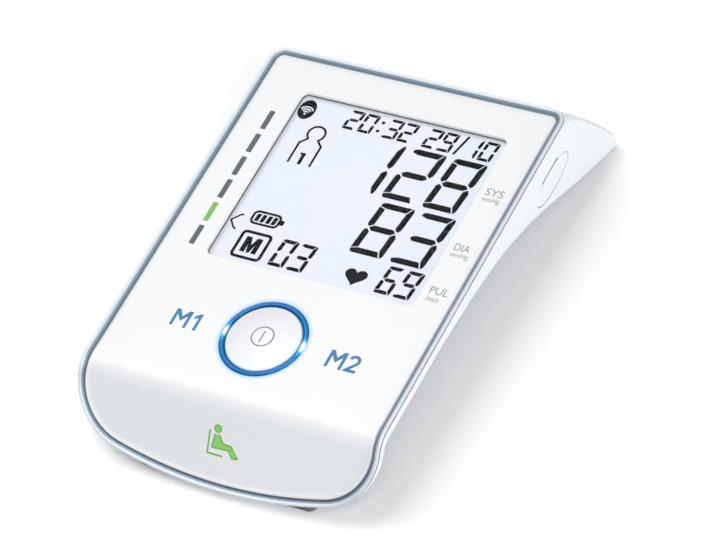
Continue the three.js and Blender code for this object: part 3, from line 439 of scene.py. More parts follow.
def upright(shape, low, high):
    """Points and faces of a straight-sided solid: a closed outline (x, y) between two heights."""
    return capped([level(shape, low), level(shape, high)])


def on_side(points, y, depth):
    """Lays upright points across the body: x runs along the body, y upwards and z to the right."""
    return points[..., (2, 0, 1)] + (0, y, -depth)


def sideways(shape, x0, x1, y, depth):
    """A straight-sided solid that lies across the body, from x0 to x1."""
    points, faces = upright(shape, x0, x1)
    return on_side(points, y, depth), faces


def stack(pieces):
    """Joins several (points, faces) pairs into one."""
    points = np.concatenate([some for some, _ in pieces])
    starts = np.cumsum([0] + [len(some) for some, _ in pieces]).tolist()
    faces = [[k + start for k in face] for start, (_, some) in zip(starts, pieces) for face in some]
    return points, faces


def rounded_rectangle(width, length, corner, steps=8):
    """A closed outline: four quarter circles joined by straight sides."""
    turn = np.linspace(0, math.pi / 2, steps + 1)
    centres = np.array([(1, 1), (-1, 1), (-1, -1), (1, -1)]) * (width / 2 - corner, length / 2 - corner)
    turns = turn + np.arange(4).reshape(-1, 1) * math.pi / 2
    arcs = np.stack([np.cos(turns), np.sin(turns)], -1) * corner
    return (centres[:, None] + arcs).reshape(-1, 2)


def full_turn(steps):
    """The angles of a full turn in equal steps, without the last, which is the first again."""
    return np.arange(steps) * 2 * math.pi / steps


def ellipse(half_x, half_y, steps):
    """A closed outline: half_x times the cosine and half_y times the sine of a full turn."""
    turn = full_turn(steps)
    return np.column_stack([half_x * np.cos(turn), half_y * np.sin(turn)])


edge_round = 0.12
lip_in = 1.0
outer = body_form(0, housing_top + edge_round, turn_steps=14, wall_steps=12)
crown = np.linspace(0, math.pi / 2, 5)[1:]
rounded = [flat_ring(edge_round * (1 - math.cos(a)), edge_round * (math.sin(a) - 1) - housing_top)
           for a in crown]
ledge = [flat_ring(lip_in, -housing_top), flat_ring(lip_in, -ledge_depth)]
inner = body_form(wall, ledge_depth, turn_steps=6, wall_steps=5)[::-1]
rings = np.concatenate([outer, rounded, ledge, inner])
lower_housing = make_piece("housing_shell", rings, filled_across(rings))

# Its holes: the seat of the port's flap, the charging pocket with its slot, the slit for a finger
# nail, the cuff socket's well with the seat of its rim, and a well and a pilot hole for each screw.
# Oblong ones are given by width, height and corner, round upright ones by radius, low and high end.
past_wall = 3.0
far_below = -60.0
flap_thickness = 1.5
flap_seat = half_width - flap_thickness - gap
pocket_size = (13.0, 6.6, 2.0)
pocket_length = 6.4
pocket_floor = flap_seat - pocket_length
socket_slot = (8.2, 3.4, 1.1)
nail_slit = (12.6, 1.1, 0.4)
nail_slit_floor = half_width - 1.75
nail_slit_depth = port_depth - flap_half[1]
cuff_depth = 13.0
cuff_x = -half_width - side_splay * (cuff_depth - ledge_depth)
cuff_well = ellipse(5.7, 5.7, 64)
cuff_well_floor = cuff_x + 8.0
cuff_rim_seat = ellipse(7.2, 7.2, 64)
cuff_rim_floor = cuff_x + 1.5
port_block = (27.6, 11.4, 1.0)
block_back = pocket_floor - 1.2
screw_places = [(-45.5, 8.0), (45.5, 8.0), (-40.0, 111.0), (40.0, 111.0)]
cover_boss_foot = 4.4
post_top = cover_boss_foot + gap
post_end = 1.9
well_top = post_top + post_end
screw_well = (2.9, far_below, -well_top)
pilot_hole = (1.5, -well_top - 1, 1 - post_top)
screw_post = (3.8, far_below, -post_top)
oval = ellipse(flap_half[0] + gap, flap_half[1] + gap, 72)
cutters = [sideways(*hole) for hole in (
    (oval, flap_seat, half_width + past_wall, port_y, port_depth),
    (rounded_rectangle(*pocket_size), pocket_floor, half_width + 1, port_y, port_depth),
    (rounded_rectangle(*socket_slot), pocket_floor - 3, half_width - 3, port_y, port_depth),
    (rounded_rectangle(*nail_slit), nail_slit_floor, half_width + past_wall, port_y, nail_slit_depth),
    (cuff_well, cuff_x - past_wall, cuff_well_floor, port_y, cuff_depth),
    (cuff_rim_seat, cuff_x - past_wall, cuff_rim_floor, port_y, cuff_depth))]
fittings = [sideways(rounded_rectangle(*port_block), block_back, half_width + 1, port_y, port_depth)]
for x, y in screw_places:
    for (radius, low, high), group in ((screw_well, cutters), (pilot_hole, cutters), (screw_post, fittings)):
        points, faces = upright(ellipse(radius, radius, 40), low, high)
        group.append((points + (x, y, 0), faces))
oval_hole = sideways(oval, half_width - 3, half_width + past_wall, port_y, port_depth)
cut_away(lower_housing, [make_piece("cutter", *shape) for shape in [oval_hole] + cutters])

# Moulded in one with it: the block behind the charging port and the posts that the screws pass.
rings = body_form(wall / 2, ledge_depth, turn_steps=8, wall_steps=6)
inside_form = make_piece("inside_form", rings, filled_across(rings))
housing_fittings = make_piece("housing_fittings", *stack(fittings))
cut_away(housing_fittings, [make_piece("cutter", *shape) for shape in cutters], kept_in=inside_form)


def glossy_abs(name, colour, painted_glow_from=None, painted_glow_to=None):
    """Moulded ABS with a polished skin: an even colour, a clear gloss that is a little uneven, and the
    faint orange peel, about 1.5 mm from swell to swell, that the mould leaves. Given two distances,
    a painted glow is mixed into the colour beside the light ring: the ring's blue light on the
    plastic, fading between those two distances from the key's centre.
    """
    material, tree = new_material(name)
    where = add(tree, "ShaderNodeTexCoord").outputs["Object"]
    body_colour = paint(colour)
    if painted_glow_from:
        # Painted glow: the ring's blue light, mixed into the colour and fading with the distance from the
        # key's centre.
        out = add(tree, "ShaderNodeVectorMath", {0: where, 1: (panel_zero / 1000).tolist()},
                  operation="DISTANCE")
        share = add(tree, "ShaderNodeMapRange",
                    {"Value": out.outputs["Value"], "From Min": painted_glow_from, "From Max": painted_glow_to,
                     "To Min": 1.0, "To Max": 0.0})
        body_colour = add(tree, "ShaderNodeMix",
                          {"Factor": share.outputs[0], 6: body_colour, 7: paint("#9fd4f7")},
                          data_type="RGBA").outputs[2]
    peel = add(tree, "ShaderNodeTexNoise", {"Vector": where, "Scale": 650.0, "Detail": 2.0})
    patches = add(tree, "ShaderNodeTexNoise", {"Vector": where, "Scale": 45.0, "Detail": 3.0})
    dull = add(tree, "ShaderNodeMapRange",
               {"Value": patches.outputs["Fac"], "To Min": 0.3, "To Max": 0.38})
    bump = add(tree, "ShaderNodeBump",
               {"Height": peel.outputs["Fac"], "Strength": 0.05, "Distance": 0.0002})
    shader = add(tree, "ShaderNodeBsdfPrincipled",
                 {"Base Color": body_colour, "Roughness": dull.outputs[0], "IOR": 1.52,
                  "Normal": bump.outputs[0]})
    add(tree, "ShaderNodeOutputMaterial", {"Surface": shader.outputs[0]})
    return material


white_abs = glossy_abs("moulded_white_abs", "#f1f3f5")


def finish_piece(made, material, body, slot, *nodes):
    """Gives a piece its material, the body it moves with and the solids it stands for; slot is not used."""
    made.data.materials.clear()
    made.data.materials.append(material)
    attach(made, body)
    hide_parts(*nodes)


finish_piece(lower_housing, white_abs, "monitor", "white_abs", "lower_housing")
finish_piece(housing_fittings, white_abs, "monitor", "white_abs")


# Rim: a thin frame of pale silver-blue plastic clipped between housing and cover, its crest a little
# proud and its inner face sloping down into the groove. Moulded, then lacquered.
def trim_frame(name, section):
    """A frame round the whole panel: a closed section of (inset, height) points, in order, carried
    along the outline.
    """
    rings = [flat_ring(inset, height) for inset, height in section]
    return make_piece(name, rings, bands(rings, closed=True), sharp=45)


rim = trim_frame("rim_frame", [
    (0.14, -0.08), (0.14, 0.33), (0.18, 0.5), (0.27, 0.66), (0.38, 0.76), (0.5, 0.8), (0.64, 0.78),
    (1.1, 0.52), (1.7, 0.02), (1.88, -0.16), (1.98, -0.3), (2.0, -0.5), (2.0, -1.9), (2.65, -1.9),
    (2.65, -2.6), (1.3, -2.6), (1.3, -0.08)])


def speckled(tree, colours, scale, detail, stretch=None):
    """Two tones mixed by a noise with so many grains a metre, drawn out along the axes whose stretch
    is under 1. Returns the colour and the noise.
    """
    where = add(tree, "ShaderNodeTexCoord").outputs["Object"]
    if stretch:
        where = add(tree, "ShaderNodeMapping", {"Vector": where, "Scale": stretch}).outputs[0]
    noise = add(tree, "ShaderNodeTexNoise", {"Vector": where, "Scale": scale, "Detail": detail})
    tone = add(tree, "ShaderNodeMix",
               {"Factor": noise.outputs["Fac"], 6: paint(colours[0]), 7: paint(colours[1])},
               data_type="RGBA")
    return tone.outputs[2], noise.outputs["Fac"]


def lacquered_plastic(name, colours):
    """Silver lacquer on plastic: a pale metallic sparkle under a clear coat. The real flakes are finer
    than the 0.3 mm grains that show here.
    """
    material, tree = new_material(name)
    tone, _ = speckled(tree, colours, 3000.0, 1.0)
    shader = add(tree, "ShaderNodeBsdfPrincipled",
                 {"Base Color": tone, "Metallic": 0.1, "Roughness": 0.4, "Coat Weight": 0.2,
                  "Coat Roughness": 0.2})
    add(tree, "ShaderNodeOutputMaterial", {"Surface": shader.outputs[0]})
    return material


silver_trim = lacquered_plastic("silver_blue_lacquer", ("#d9e0e8", "#e5ebf1"))
finish_piece(rim, silver_trim, "monitor", "silver_trim", "rim")

# The lower part of the rim's inner face is a deeper blue-grey: painted shade and dark reflection.
rim_painted_shade = trim_frame("rim_inner_face_painted_shade", [
    (1.38, 0.27), (1.4, 0.3), (1.7, 0.06), (1.9, -0.13), (2.01, -0.28), (2.04, -0.5), (2.04, -1.2),
    (1.96, -1.2), (1.96, -0.5), (1.94, -0.3), (1.85, -0.18), (1.66, 0.02)])
shade_lacquer = lacquered_plastic("blue_grey_painted_shade", ("#8496a8", "#98a9b9"))
finish_piece(rim_painted_shade, shade_lacquer, "monitor", "silver_trim")


# Groove seal: a soft bead of blue-grey elastomer at the bottom of the groove between rim and cover,
# which keeps dust and damp out of the case. Extruded cord laid in before the cover is screwed on.
groove_seal = trim_frame("seal_bead", [
    (2.06, -1.6), (2.06, -0.8), (2.1, -0.65), (2.22, -0.55), (2.4, -0.52), (2.58, -0.55), (2.7, -0.65),
    (2.74, -0.8), (2.74, -1.6)])


def matt_elastomer(name, colours, grain):
    """Rubber: matt, dark in its pores, with a fine stipple of the given number of grains a metre."""
    material, tree = new_material(name)
    tone, stipple = speckled(tree, colours, grain, 3.0)
    bump = add(tree, "ShaderNodeBump", {"Height": stipple, "Strength": 0.25, "Distance": 0.0003})
    shader = add(tree, "ShaderNodeBsdfPrincipled",
                 {"Base Color": tone, "Roughness": 0.72, "Normal": bump.outputs[0]})
    add(tree, "ShaderNodeOutputMaterial", {"Surface": shader.outputs[0]})
    return material


seal_rubber = matt_elastomer("blue_grey_elastomer", ("#72828f", "#8696a4"), 1200)
finish_piece(groove_seal, seal_rubber, "monitor", "seal_rubber", "groove_seal")

# A thin dark grey strip, almost flush, fills the joint between the rim and the housing: painted shadow for
# the gap there.
joint_shadow_strip = trim_frame("joint_shadow_strip", [(0.03, -0.07), (0.03, -0.51), (1.05, -0.51), (1.05, -0.07)])
joint_shadow_rubber = matt_elastomer("dark_grey_joint_shadow", ("#667079", "#737d87"), 1200)
finish_piece(joint_shadow_strip, joint_shadow_rubber, "monitor", "seal_rubber")


# Front cover: the white glossy plate that carries the display window and the keys, bent down over the
# lip, with a softly rounded edge along the groove. Moulded ABS, screwed from below.
cover_inset = 2.8
cover_round = 0.6
cover_fall = 0.18
lip_swell = 0.42
swell_start = 14.0
swell_full = 36.0
border_width = 1.5
cover_thickness = 2.0
skirt_depth = 3.8
skirt_width = 1.8
window_size = (81.7, 75.3)
window_corner = 2.4
window_place = (2.5, 65.2)
chamfer = 0.3
rebate_depth = 0.84
lens_flange = 1.8
ring_outer = 15.4
hole_round = 0.25
flat_border = 0.15


def framed(grow, height):
    """Ring of points round the window, a distance outside its edge and at a height."""
    width, length = window_size
    shape = rounded_rectangle(width + 2 * grow, length + 2 * grow, window_corner + grow)
    return level(shape + window_place, height)


def circle(radius, height):
    """Ring of points round the start button, at a height."""
    return level(ellipse(radius, radius, 96), height)


def sheet_with_holes(inset, height, holes):
    """Points and faces of the cover's plate at one height, open at its outline and at the holes.

    The flat part and the lip are filled polygons; strips across the body close the bend between them.
    """
    ring = flat_ring(inset, height)
    count = len(ring)
    first = sum(len(part) for part in (rear_edge, rear_turns, side_stops)) - 1
    last = first + len(bend_stops)
    flat = list(range(count - first, count)) + list(range(first + 1))
    lip = list(range(last, count - last + 1))
    right = np.arange(first, last)
    faces = np.stack([right, right + 1, count - right - 1, count - right], -1).tolist() + [lip]
    loops = [ring[flat]] + [hole[::-1] for hole in holes]
    points = np.concatenate([ring] + loops[1:])
    numbers = flat + list(range(count, len(points)))
    triangles = tessellate_polygon([loop.tolist() for loop in loops])
    faces += [[numbers[k] for k in triangle] for triangle in triangles]
    return points, faces


def border_ring(inset, share, height):
    """Ring near the cover's edge, which falls a little on the panel and swells a little on the lip, with
    a smooth step down the skin between: a share of that fall or swell is added to the height.
    """
    x, s = outline(inset)
    on_lip = smoothstep(-s, swell_start, swell_full)
    change = (cover_fall + lip_swell) * on_lip - cover_fall
    return both_sides(on_skin(x, s, height + share * change))


def quarter(radius, steps):
    """(inwards, height) of a rounded edge, from the flat to the side, for a quarter turn in steps."""
    turns = np.linspace(0, math.pi / 2, steps)
    return [(radius * (1 - math.sin(a)), radius * (math.cos(a) - 1)) for a in turns]


border = cover_inset + cover_round
skirt_inset = cover_inset + skirt_width
edge = [border_ring(border + border_width * t, (1 - t) ** 2, 0) for t in (1, 0.8, 0.6, 0.4, 0.2)]
edge += [border_ring(cover_inset + inwards, 1, height) for inwards, height in quarter(cover_round, 9)]
edge += [flat_ring(cover_inset, -skirt_depth), flat_ring(skirt_inset, -skirt_depth),
         flat_ring(skirt_inset, -cover_thickness)]
window_edge = [framed(grow, height) for grow, height in (
    (chamfer + flat_border, 0), (chamfer, 0), (chamfer - 0.05, -0.05), (0.03, 0.05 - rebate_depth),
    (0, -rebate_depth), (lens_flange + gap, -rebate_depth), (lens_flange + gap, -cover_thickness))]
hole_radius = ring_outer + gap
hole_edge = [circle(hole_radius + hole_round + flat_border, 0)]
hole_edge += [circle(hole_radius + inwards, height) for inwards, height in quarter(hole_round, 5)]
hole_edge += [circle(hole_radius, -cover_thickness)]
top = sheet_with_holes(border + border_width, 0, [window_edge[0], hole_edge[0]])
bottom = sheet_with_holes(skirt_inset, -cover_thickness, [window_edge[-1], hole_edge[-1]])
sides = [(np.concatenate(rings), bands(rings)) for rings in (edge, window_edge, hole_edge)]
front_cover = make_piece("cover_plate", *stack([top, bottom] + sides), sharp=35)
# The cover gets the ring's blue light as a painted glow, from 15.4 to 17.4 mm round the key's centre.
cover_abs_painted_glow = glossy_abs("moulded_white_abs_painted_ring_glow", "#f1f3f5", 0.0154, 0.0174)
finish_piece(front_cover, cover_abs_painted_glow, "monitor", "white_abs", "front_cover")


# Start button: a round cap of the same white plastic with a gently domed face, which slides down
# against a silicone dome. Moulded, held by its flange under the light ring.
def turned_profile(profile, steps=96):
    """A closed profile of (radius, height) points turned a full turn round the upright axis."""
    profile = np.array(profile)
    turn = full_turn(steps)
    radius, height = profile[:, :1], profile[:, 1:]
    rings = np.stack([radius * np.cos(turn), radius * np.sin(turn), height + 0 * turn], -1)
    return rings, bands(rings, closed=True)


button_radius = 13.6
button_top = 0.1
button_dome = 1.3
button_round = 0.6
round_start = 0.15
face_radius = button_radius - button_round


def key_height(radius):
    """Height of the key's face: a parabola that falls by the dome's height from the middle to the edge."""
    return button_top + button_dome * (1 - (radius / face_radius) ** 2)


face = [(r, key_height(r)) for r in np.linspace(0, face_radius, 25)]
rounds = [(button_radius - button_round * (1 - math.sin(a)), button_top - button_round * (1 - math.cos(a)))
          for a in np.linspace(round_start, math.pi / 2, 8)]
skirt = [(button_radius, -3.0), (15.0, -3.0), (15.0, -3.8), (11.6, -3.8), (11.6, -2.0)]
stem = [(4.2, -2.0), (4.2, -3.8), (0.0, -3.8)]
start_button = make_piece("start_key", *turned_profile(face + rounds + skirt + stem))
# The key's edge gets the ring's blue light as a painted glow, from 13.6 mm in to 12.9 mm.
key_abs_painted_glow = glossy_abs("moulded_white_abs_key_painted_ring_glow", "#eff1f4", 0.0136, 0.0129)
finish_piece(start_button, key_abs_painted_glow, "start_button", "white_abs", "start_button")


# Key dome: a small hat of translucent silicone on the board under the start button, which gives the
# key its spring and flattens as it goes down. Compression moulded.
dome_foot = -5.3
dome_profile = [(0, 0), (4.2, 0), (4.15, 0.25), (3.7, 0.6), (2.8, 1.0), (2.5, 1.14), (2.2, 1.2), (0, 1.2)]
points, faces = turned_profile(dome_profile, 48)
key_dome = make_piece("key_dome", points + (0, 0, dome_foot), faces)
silicone = matt_elastomer("translucent_white_silicone", ("#dedcd4", "#eceae3"), 900)
finish_piece(key_dome, silicone, "monitor", "silicone", "button_dome")
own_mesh(key_dome)


# Light ring: a clear blue light guide round the start button, lit from the board below, its crown
# standing a third of a millimetre out of the cover. Moulded translucent plastic.
ring_inner = button_radius + gap
ring_proud = 0.35
crown_foot = -0.2
middle = (ring_inner + ring_outer) / 2
half = (ring_outer - ring_inner) / 2
profile = [(middle + half * math.cos(a), crown_foot + (ring_proud - crown_foot) * math.sin(a))
           for a in np.linspace(math.pi, 0, 13)]
profile += [(ring_outer, -2.3), (18.05, -2.3), (18.05, -2.7), (ring_inner, -2.7)]
light_ring = make_piece("ring_light", *turned_profile(profile))

# The guide glows deep blue from the board below; at three and nine o'clock painted highlights, white then
# cyan, fade into the blue.
ring_blue, tree = new_material("lit_blue_light_guide_painted_glints")
where = add(tree, "ShaderNodeTexCoord").outputs["Object"]
tilt = math.atan2(panel_back[2], panel_back[1])
around = add(tree, "ShaderNodeMapping",
             {"Vector": where, "Location": (panel_zero / 1000).tolist(),
              "Rotation": (tilt, 0, math.radians(3))},
             vector_type="TEXTURE")
unit = add(tree, "ShaderNodeVectorMath", {0: around.outputs[0]}, operation="NORMALIZE")
parts = add(tree, "ShaderNodeSeparateXYZ", {0: unit.outputs[0]})
towards_glints = add(tree, "ShaderNodeMath", {0: parts.outputs["X"]}, operation="ABSOLUTE")
lit = add(tree, "ShaderNodeValToRGB", {"Fac": towards_glints.outputs[0]})
stops = [(0.3, "#0d64a8"), (0.955, "#1274b6"), (0.985, "#35a9d6"), (0.994, "#bfe9f6"), (0.9975, "#ffffff")]
for _ in stops[2:]:
    lit.color_ramp.elements.new(0.5)
for element, (place, colour) in zip(lit.color_ramp.elements, stops):
    element.position = place
    element.color = paint(colour)
# Painted shade: towards the gap round the key the colour darkens to navy.
out = add(tree, "ShaderNodeVectorMath", {0: around.outputs[0]}, operation="LENGTH")
inwards = add(tree, "ShaderNodeMapRange",
              {"Value": out.outputs["Value"], "From Min": 0.0139, "From Max": 0.0145,
               "To Min": 0.75, "To Max": 0.0})
glints_and_painted_shade = add(tree, "ShaderNodeMix",
             {"Factor": inwards.outputs[0], 6: lit.outputs[0], 7: paint("#0c3a6e")}, data_type="RGBA")
shader = add(tree, "ShaderNodeBsdfPrincipled",
             {"Base Color": glints_and_painted_shade.outputs[2], "Roughness": 0.12, "IOR": 1.49,
              "Emission Color": glints_and_painted_shade.outputs[2], "Emission Strength": 0.25, "Specular IOR Level": 0.3})
add(tree, "ShaderNodeOutputMaterial", {"Surface": shader.outputs[0]})
finish_piece(light_ring, ring_blue, "monitor", "ring_blue", "button_light_ring")


# Display lens: a clear acrylic pane set a millimetre below the cover, glued in its rebate. It is coated
# against glare, so it adds no more than a slight smoke and gloss over the display.
clear_lens, tree = new_material("clear_acrylic")
where = add(tree, "ShaderNodeTexCoord").outputs["Object"]
smears = add(tree, "ShaderNodeTexNoise", {"Vector": where, "Scale": 60.0, "Detail": 2.0})
clean = add(tree, "ShaderNodeMapRange",
            {"Value": smears.outputs["Fac"], "To Min": 0.03, "To Max": 0.07})
shader = add(tree, "ShaderNodeBsdfPrincipled",
             {"Base Color": paint("#2a3038"), "Roughness": clean.outputs[0], "IOR": 1.49, "Alpha": 0.07})
add(tree, "ShaderNodeOutputMaterial", {"Surface": shader.outputs[0]})


def carried(material, *nodes):
    """The solids that keep their own shape get their finish."""
    for name in nodes:
        mesh = frame["nodes"][name].data
        mesh.materials.clear()
        mesh.materials.append(material)


carried(clear_lens, "display_lens")

# Its edge is printed dark grey. The print reaches twice the overlap into the window at the top and
# the left, where its dark line is painted shadow under the window's edge, and ends at the window's edge at
# the right and the bottom.
lens_top = -0.9
border_low = lens_top + 0.01
border_high = lens_top + 0.04
border_reach = 1.5
border_overlap = 0.3
shadow_shift = (border_overlap, -border_overlap, 0.0)
rings = [framed(border_reach, border_low), framed(border_reach, border_high),
         framed(-border_overlap, border_high) + shadow_shift, framed(-border_overlap, border_low) + shadow_shift]
lens_border = make_piece("lens_border_print_and_painted_shadow", rings, bands(rings, closed=True), sharp=30)


def plain_ink(name, colours, roughness, gloss=0.5):
    """Printed or darkened areas, and small black mouldings: an even colour, a little patchy, as from
    the mesh of a printing screen. It is drawn at 0.4 mm, coarser than the real one, so that it shows.
    """
    material, tree = new_material(name)
    tone, _ = speckled(tree, colours, 2500.0, 1.0)
    shader = add(tree, "ShaderNodeBsdfPrincipled",
                 {"Base Color": tone, "Roughness": roughness, "Specular IOR Level": gloss})
    add(tree, "ShaderNodeOutputMaterial", {"Surface": shader.outputs[0]})
    return material


border_and_shadow_grey = plain_ink("dark_grey_ink_and_painted_shadow", ("#46494d", "#53565a"), 0.5)
finish_piece(lens_border, border_and_shadow_grey, "monitor", "seal_rubber")


# Display glass: the liquid-crystal cell under the lens, evenly lit from behind in a cool white that is
# a little bluer towards its edges.
display_top = -2.2
lcd_lit, tree = new_material("backlit_display_glass")
where = add(tree, "ShaderNodeTexCoord").outputs["Object"]
centre = (np.array([*window_place, display_top]) @ panel_axes + panel_zero) / 1000
spread = add(tree, "ShaderNodeMapping",
             {"Vector": where, "Location": centre.tolist(), "Scale": (0.055, 0.055, 0.055)},
             vector_type="TEXTURE")
middle_glow = add(tree, "ShaderNodeTexGradient", {"Vector": spread.outputs[0]}, gradient_type="SPHERICAL")
cool = add(tree, "ShaderNodeMix",
           {"Factor": middle_glow.outputs["Fac"], 6: paint("#eaf0f8"), 7: paint("#f1f3fc")},
           data_type="RGBA")
shader = add(tree, "ShaderNodeBsdfPrincipled",
             {"Base Color": paint("#b9c0ca"), "Roughness": 0.35, "Specular IOR Level": 0.0,
              "Emission Color": cool.outputs[2], "Emission Strength": 0.62})
add(tree, "ShaderNodeOutputMaterial", {"Surface": shader.outputs[0]})
carried(lcd_lit, "lcd_glass")


# Display figures: the segments and signs that the liquid crystal darkens. Each is a thin dark shape on
# the glass; the figures are seven-segment digits that lean a tenth to the right.
def digit(value, x, y, wide, tall, thick):
    """Outlines of the lit segments of one seven-segment figure.

    The bars at the top, bottom and left end in short slants, the bars at the right keep the outer
    corners and run down to points at the middle; the middle bar is a long hexagon. The lower bars
    are the upper ones mirrored. Then x grows by a tenth of the height above the figure's foot, which
    makes it lean.
    """
    middle = tall / 2
    slit = 0.06 * thick + 0.09
    bars = {
        "a": [(0.1, tall - 0.68 * thick), (0.14 * thick, tall - 0.22 * thick), (0.5 * thick, tall),
              (wide - 0.45 * thick - slit, tall), (wide - thick - slit, tall - thick),
              (1.05 * thick, tall - thick)],
        "b": [(wide - 0.45 * thick + slit, tall), (wide - 0.2 * thick, tall - 0.06 * thick),
              (wide, tall - 0.5 * thick), (wide, middle + 0.85 * thick),
              (wide - 0.38 * thick, middle + 0.1 * thick + slit), (wide - thick, middle + 0.7 * thick),
              (wide - thick + slit / 2, tall - 1.15 * thick)],
        "f": [(0, tall - 0.68 * thick - 1.6 * slit), (thick, tall - thick - 1.6 * slit),
              (thick, middle + 0.7 * thick), (0.38 * thick, middle + 0.1 * thick + slit),
              (0, middle + 0.6 * thick)],
        "g": [(0.5 * thick + slit, middle), (thick + 1.3 * slit, middle + thick / 2),
              (wide - thick - 1.3 * slit, middle + thick / 2), (wide - 0.5 * thick - slit, middle),
              (wide - thick - 1.3 * slit, middle - thick / 2), (thick + 1.3 * slit, middle - thick / 2)],
    }
    shapes = {key: np.array(bar) for key, bar in bars.items()}
    for key, above in (("c", "b"), ("d", "a"), ("e", "f")):
        shapes[key] = (shapes[above] * (1, -1) + (0, tall))[::-1]
    lit = {"0": "abcdef", "1": "bc", "2": "abged", "3": "abgcd", "6": "acdefg", "8": "abcdefg",
           "9": "abcdfg"}
    return [shapes[key] @ ((1, 0), (0.1, 1)) + (x, y) for key in lit[value]]


def ribbon(path, width, closed=False):
    """A path as a strip of the given width: each point is moved half of it to either side, along the
    mean normal of its two neighbours, and further at a turn, so that the strip keeps its width up to
    two and a half times. Returns one outline, or one for each step of a closed path.
    """
    path = np.array(path, float)
    ahead = np.roll(path, -1, 0) - path
    behind = path - np.roll(path, 1, 0)
    if not closed:
        ahead[-1], behind[0] = behind[-1], ahead[0]
    units = [d / np.linalg.norm(d, axis=1, keepdims=True) for d in (ahead, behind)]
    mean = units[0] + units[1]
    mean /= np.linalg.norm(mean, axis=1, keepdims=True)
    reach = width / 2 / np.maximum((mean * units[0]).sum(1, keepdims=True), 0.4)
    side = np.column_stack([-mean[:, 1], mean[:, 0]]) * reach
    left, right = path + side, path - side
    if not closed:
        return [np.concatenate([left, right[::-1]])]
    following = np.roll(np.arange(len(path)), -1)
    return list(np.stack([left, left[following], right[following], right], 1))


def arc(x, y, radius, start, stop, steps=16):
    """Points on a circle between two angles in degrees."""
    turn = np.radians(np.linspace(start, stop, steps + 1))
    return np.column_stack([x + radius * np.cos(turn), y + radius * np.sin(turn)])


def box_outline(x0, x1, y0, y1, corner):
    """Points of an upright rounded rectangle between its corners."""
    return rounded_rectangle(x1 - x0, y1 - y0, corner) + ((x0 + x1) / 2, (y0 + y1) / 2)


def prisms(outlines, low, high):
    """Every outline as a thin solid between two heights."""
    return stack([upright(shape, low, high) for shape in outlines])


large = (13.0, 22.9, 2.4)
small = (6.2, 11.9, 1.45)
smallest = (5.2, 8.6, 1.15)
rows = (("128", (-6.6, 9.4, 25.4), 68.8, large), ("83", (9.4, 25.4), 43.9, large),
        ("69", (26.0, 33.5), 30.4, small), ("03", (-15.9, -8.4), 30.4, small),
        ("2032", (-18.8, -12.75, -2.95, 3.0), 93.1, smallest),
        ("2910", (12.9, 18.9, 28.6, 34.8), 93.1, smallest))
figures = [bar for values, places, y, size in rows for value, x in zip(values, places)
           for bar in digit(value, x, y, *size)]
colon = [ellipse(0.65, 0.65, 16) + place for place in ((-4.75, 99.2), (-5.15, 95.3))]
stroke = [[(25.5, 93.0), (26.4, 93.0), (28.7, 101.8), (27.8, 101.8)]]
person = ribbon([(-30.4, 73.7), (-30.4, 83.0), (-28.6, 84.8), *arc(-26.1, 88.0, 3.3, 232, -52, 26),
                 (-23.6, 84.8), (-21.7, 83.0), (-21.7, 73.7)], 0.8)
number_one = [[(-26.75, 73.8), (-25.45, 73.8), (-25.45, 78.9), (-27.5, 78.9), (-27.5, 78.0),
               (-26.75, 78.0)]]
battery = ribbon(box_outline(-30.7, -20.2, 45.55, 50.75, 1.6), 0.9, closed=True)
battery += [np.array([(0, 46.5), (1.5, 46.5), (1.8, 49.8), (0.3, 49.8)]) + (x, 0)
            for x in (-29.6, -27.4, -25.1, -22.9)]
battery += [box_outline(-19.8, -18.3, 47.1, 49.2, 0.4)]
memory_box = ribbon(box_outline(-30.5, -19.5, 30.75, 41.65, 1.3), 1.15, closed=True)
memory_sign = [[(-28.3, 33.0), (-28.3, 39.7), (-26.2, 39.7), (-25.1, 36.3), (-24.0, 39.7), (-21.9, 39.7),
                (-21.9, 33.0), (-23.75, 33.0), (-23.75, 36.8), (-24.55, 33.0), (-25.65, 33.0),
                (-26.45, 36.8), (-26.45, 33.0)]]
pointer = ribbon([(-34.1, 47.85), (-35.1, 47.65), (-37.7, 44.6), (-35.1, 41.55), (-34.1, 41.35)], 0.65)
turn = full_turn(48)
heart_height = 13 * np.cos(turn) - 5 * np.cos(2 * turn) - 2 * np.cos(3 * turn) - np.cos(4 * turn)
heart = [np.column_stack([17.2 + 4.25 * np.sin(turn) ** 3, 34.6 + 0.245 * heart_height])]
radio_x = -34.75
radio_disc = [ellipse(3.3, 4.4, 48) + (radio_x, 97.3)]
signs = (figures + colon + stroke + person + number_one + battery + memory_box + memory_sign + pointer
         + heart + radio_disc)
figure_height = 0.1
display_figures = make_piece("display_figures",
                             *prisms(signs, display_top, display_top + figure_height), sharp=30)
segment_black = plain_ink("darkened_liquid_crystal", ("#101112", "#181a1b"), 0.45, 0.0)
finish_piece(display_figures, segment_black, "monitor", "chip_black")

# The wireless sign is a dark disc with three plain waves left clear in it.
waves = [piece for radius in (1.1, 2.1, 3.1)
         for piece in ribbon(arc(radio_x, 95.4, radius, 35, 145, 12), 0.5)]
waves += [ellipse(0.45, 0.45, 16) + (radio_x, 95.3)]
waves_low = display_top + figure_height / 2
waves_high = display_top + 0.16
radio_waves = make_piece("display_waves", *prisms(waves, waves_low, waves_high), sharp=30)
finish_piece(radio_waves, lcd_lit, "monitor", "lcd_glass")


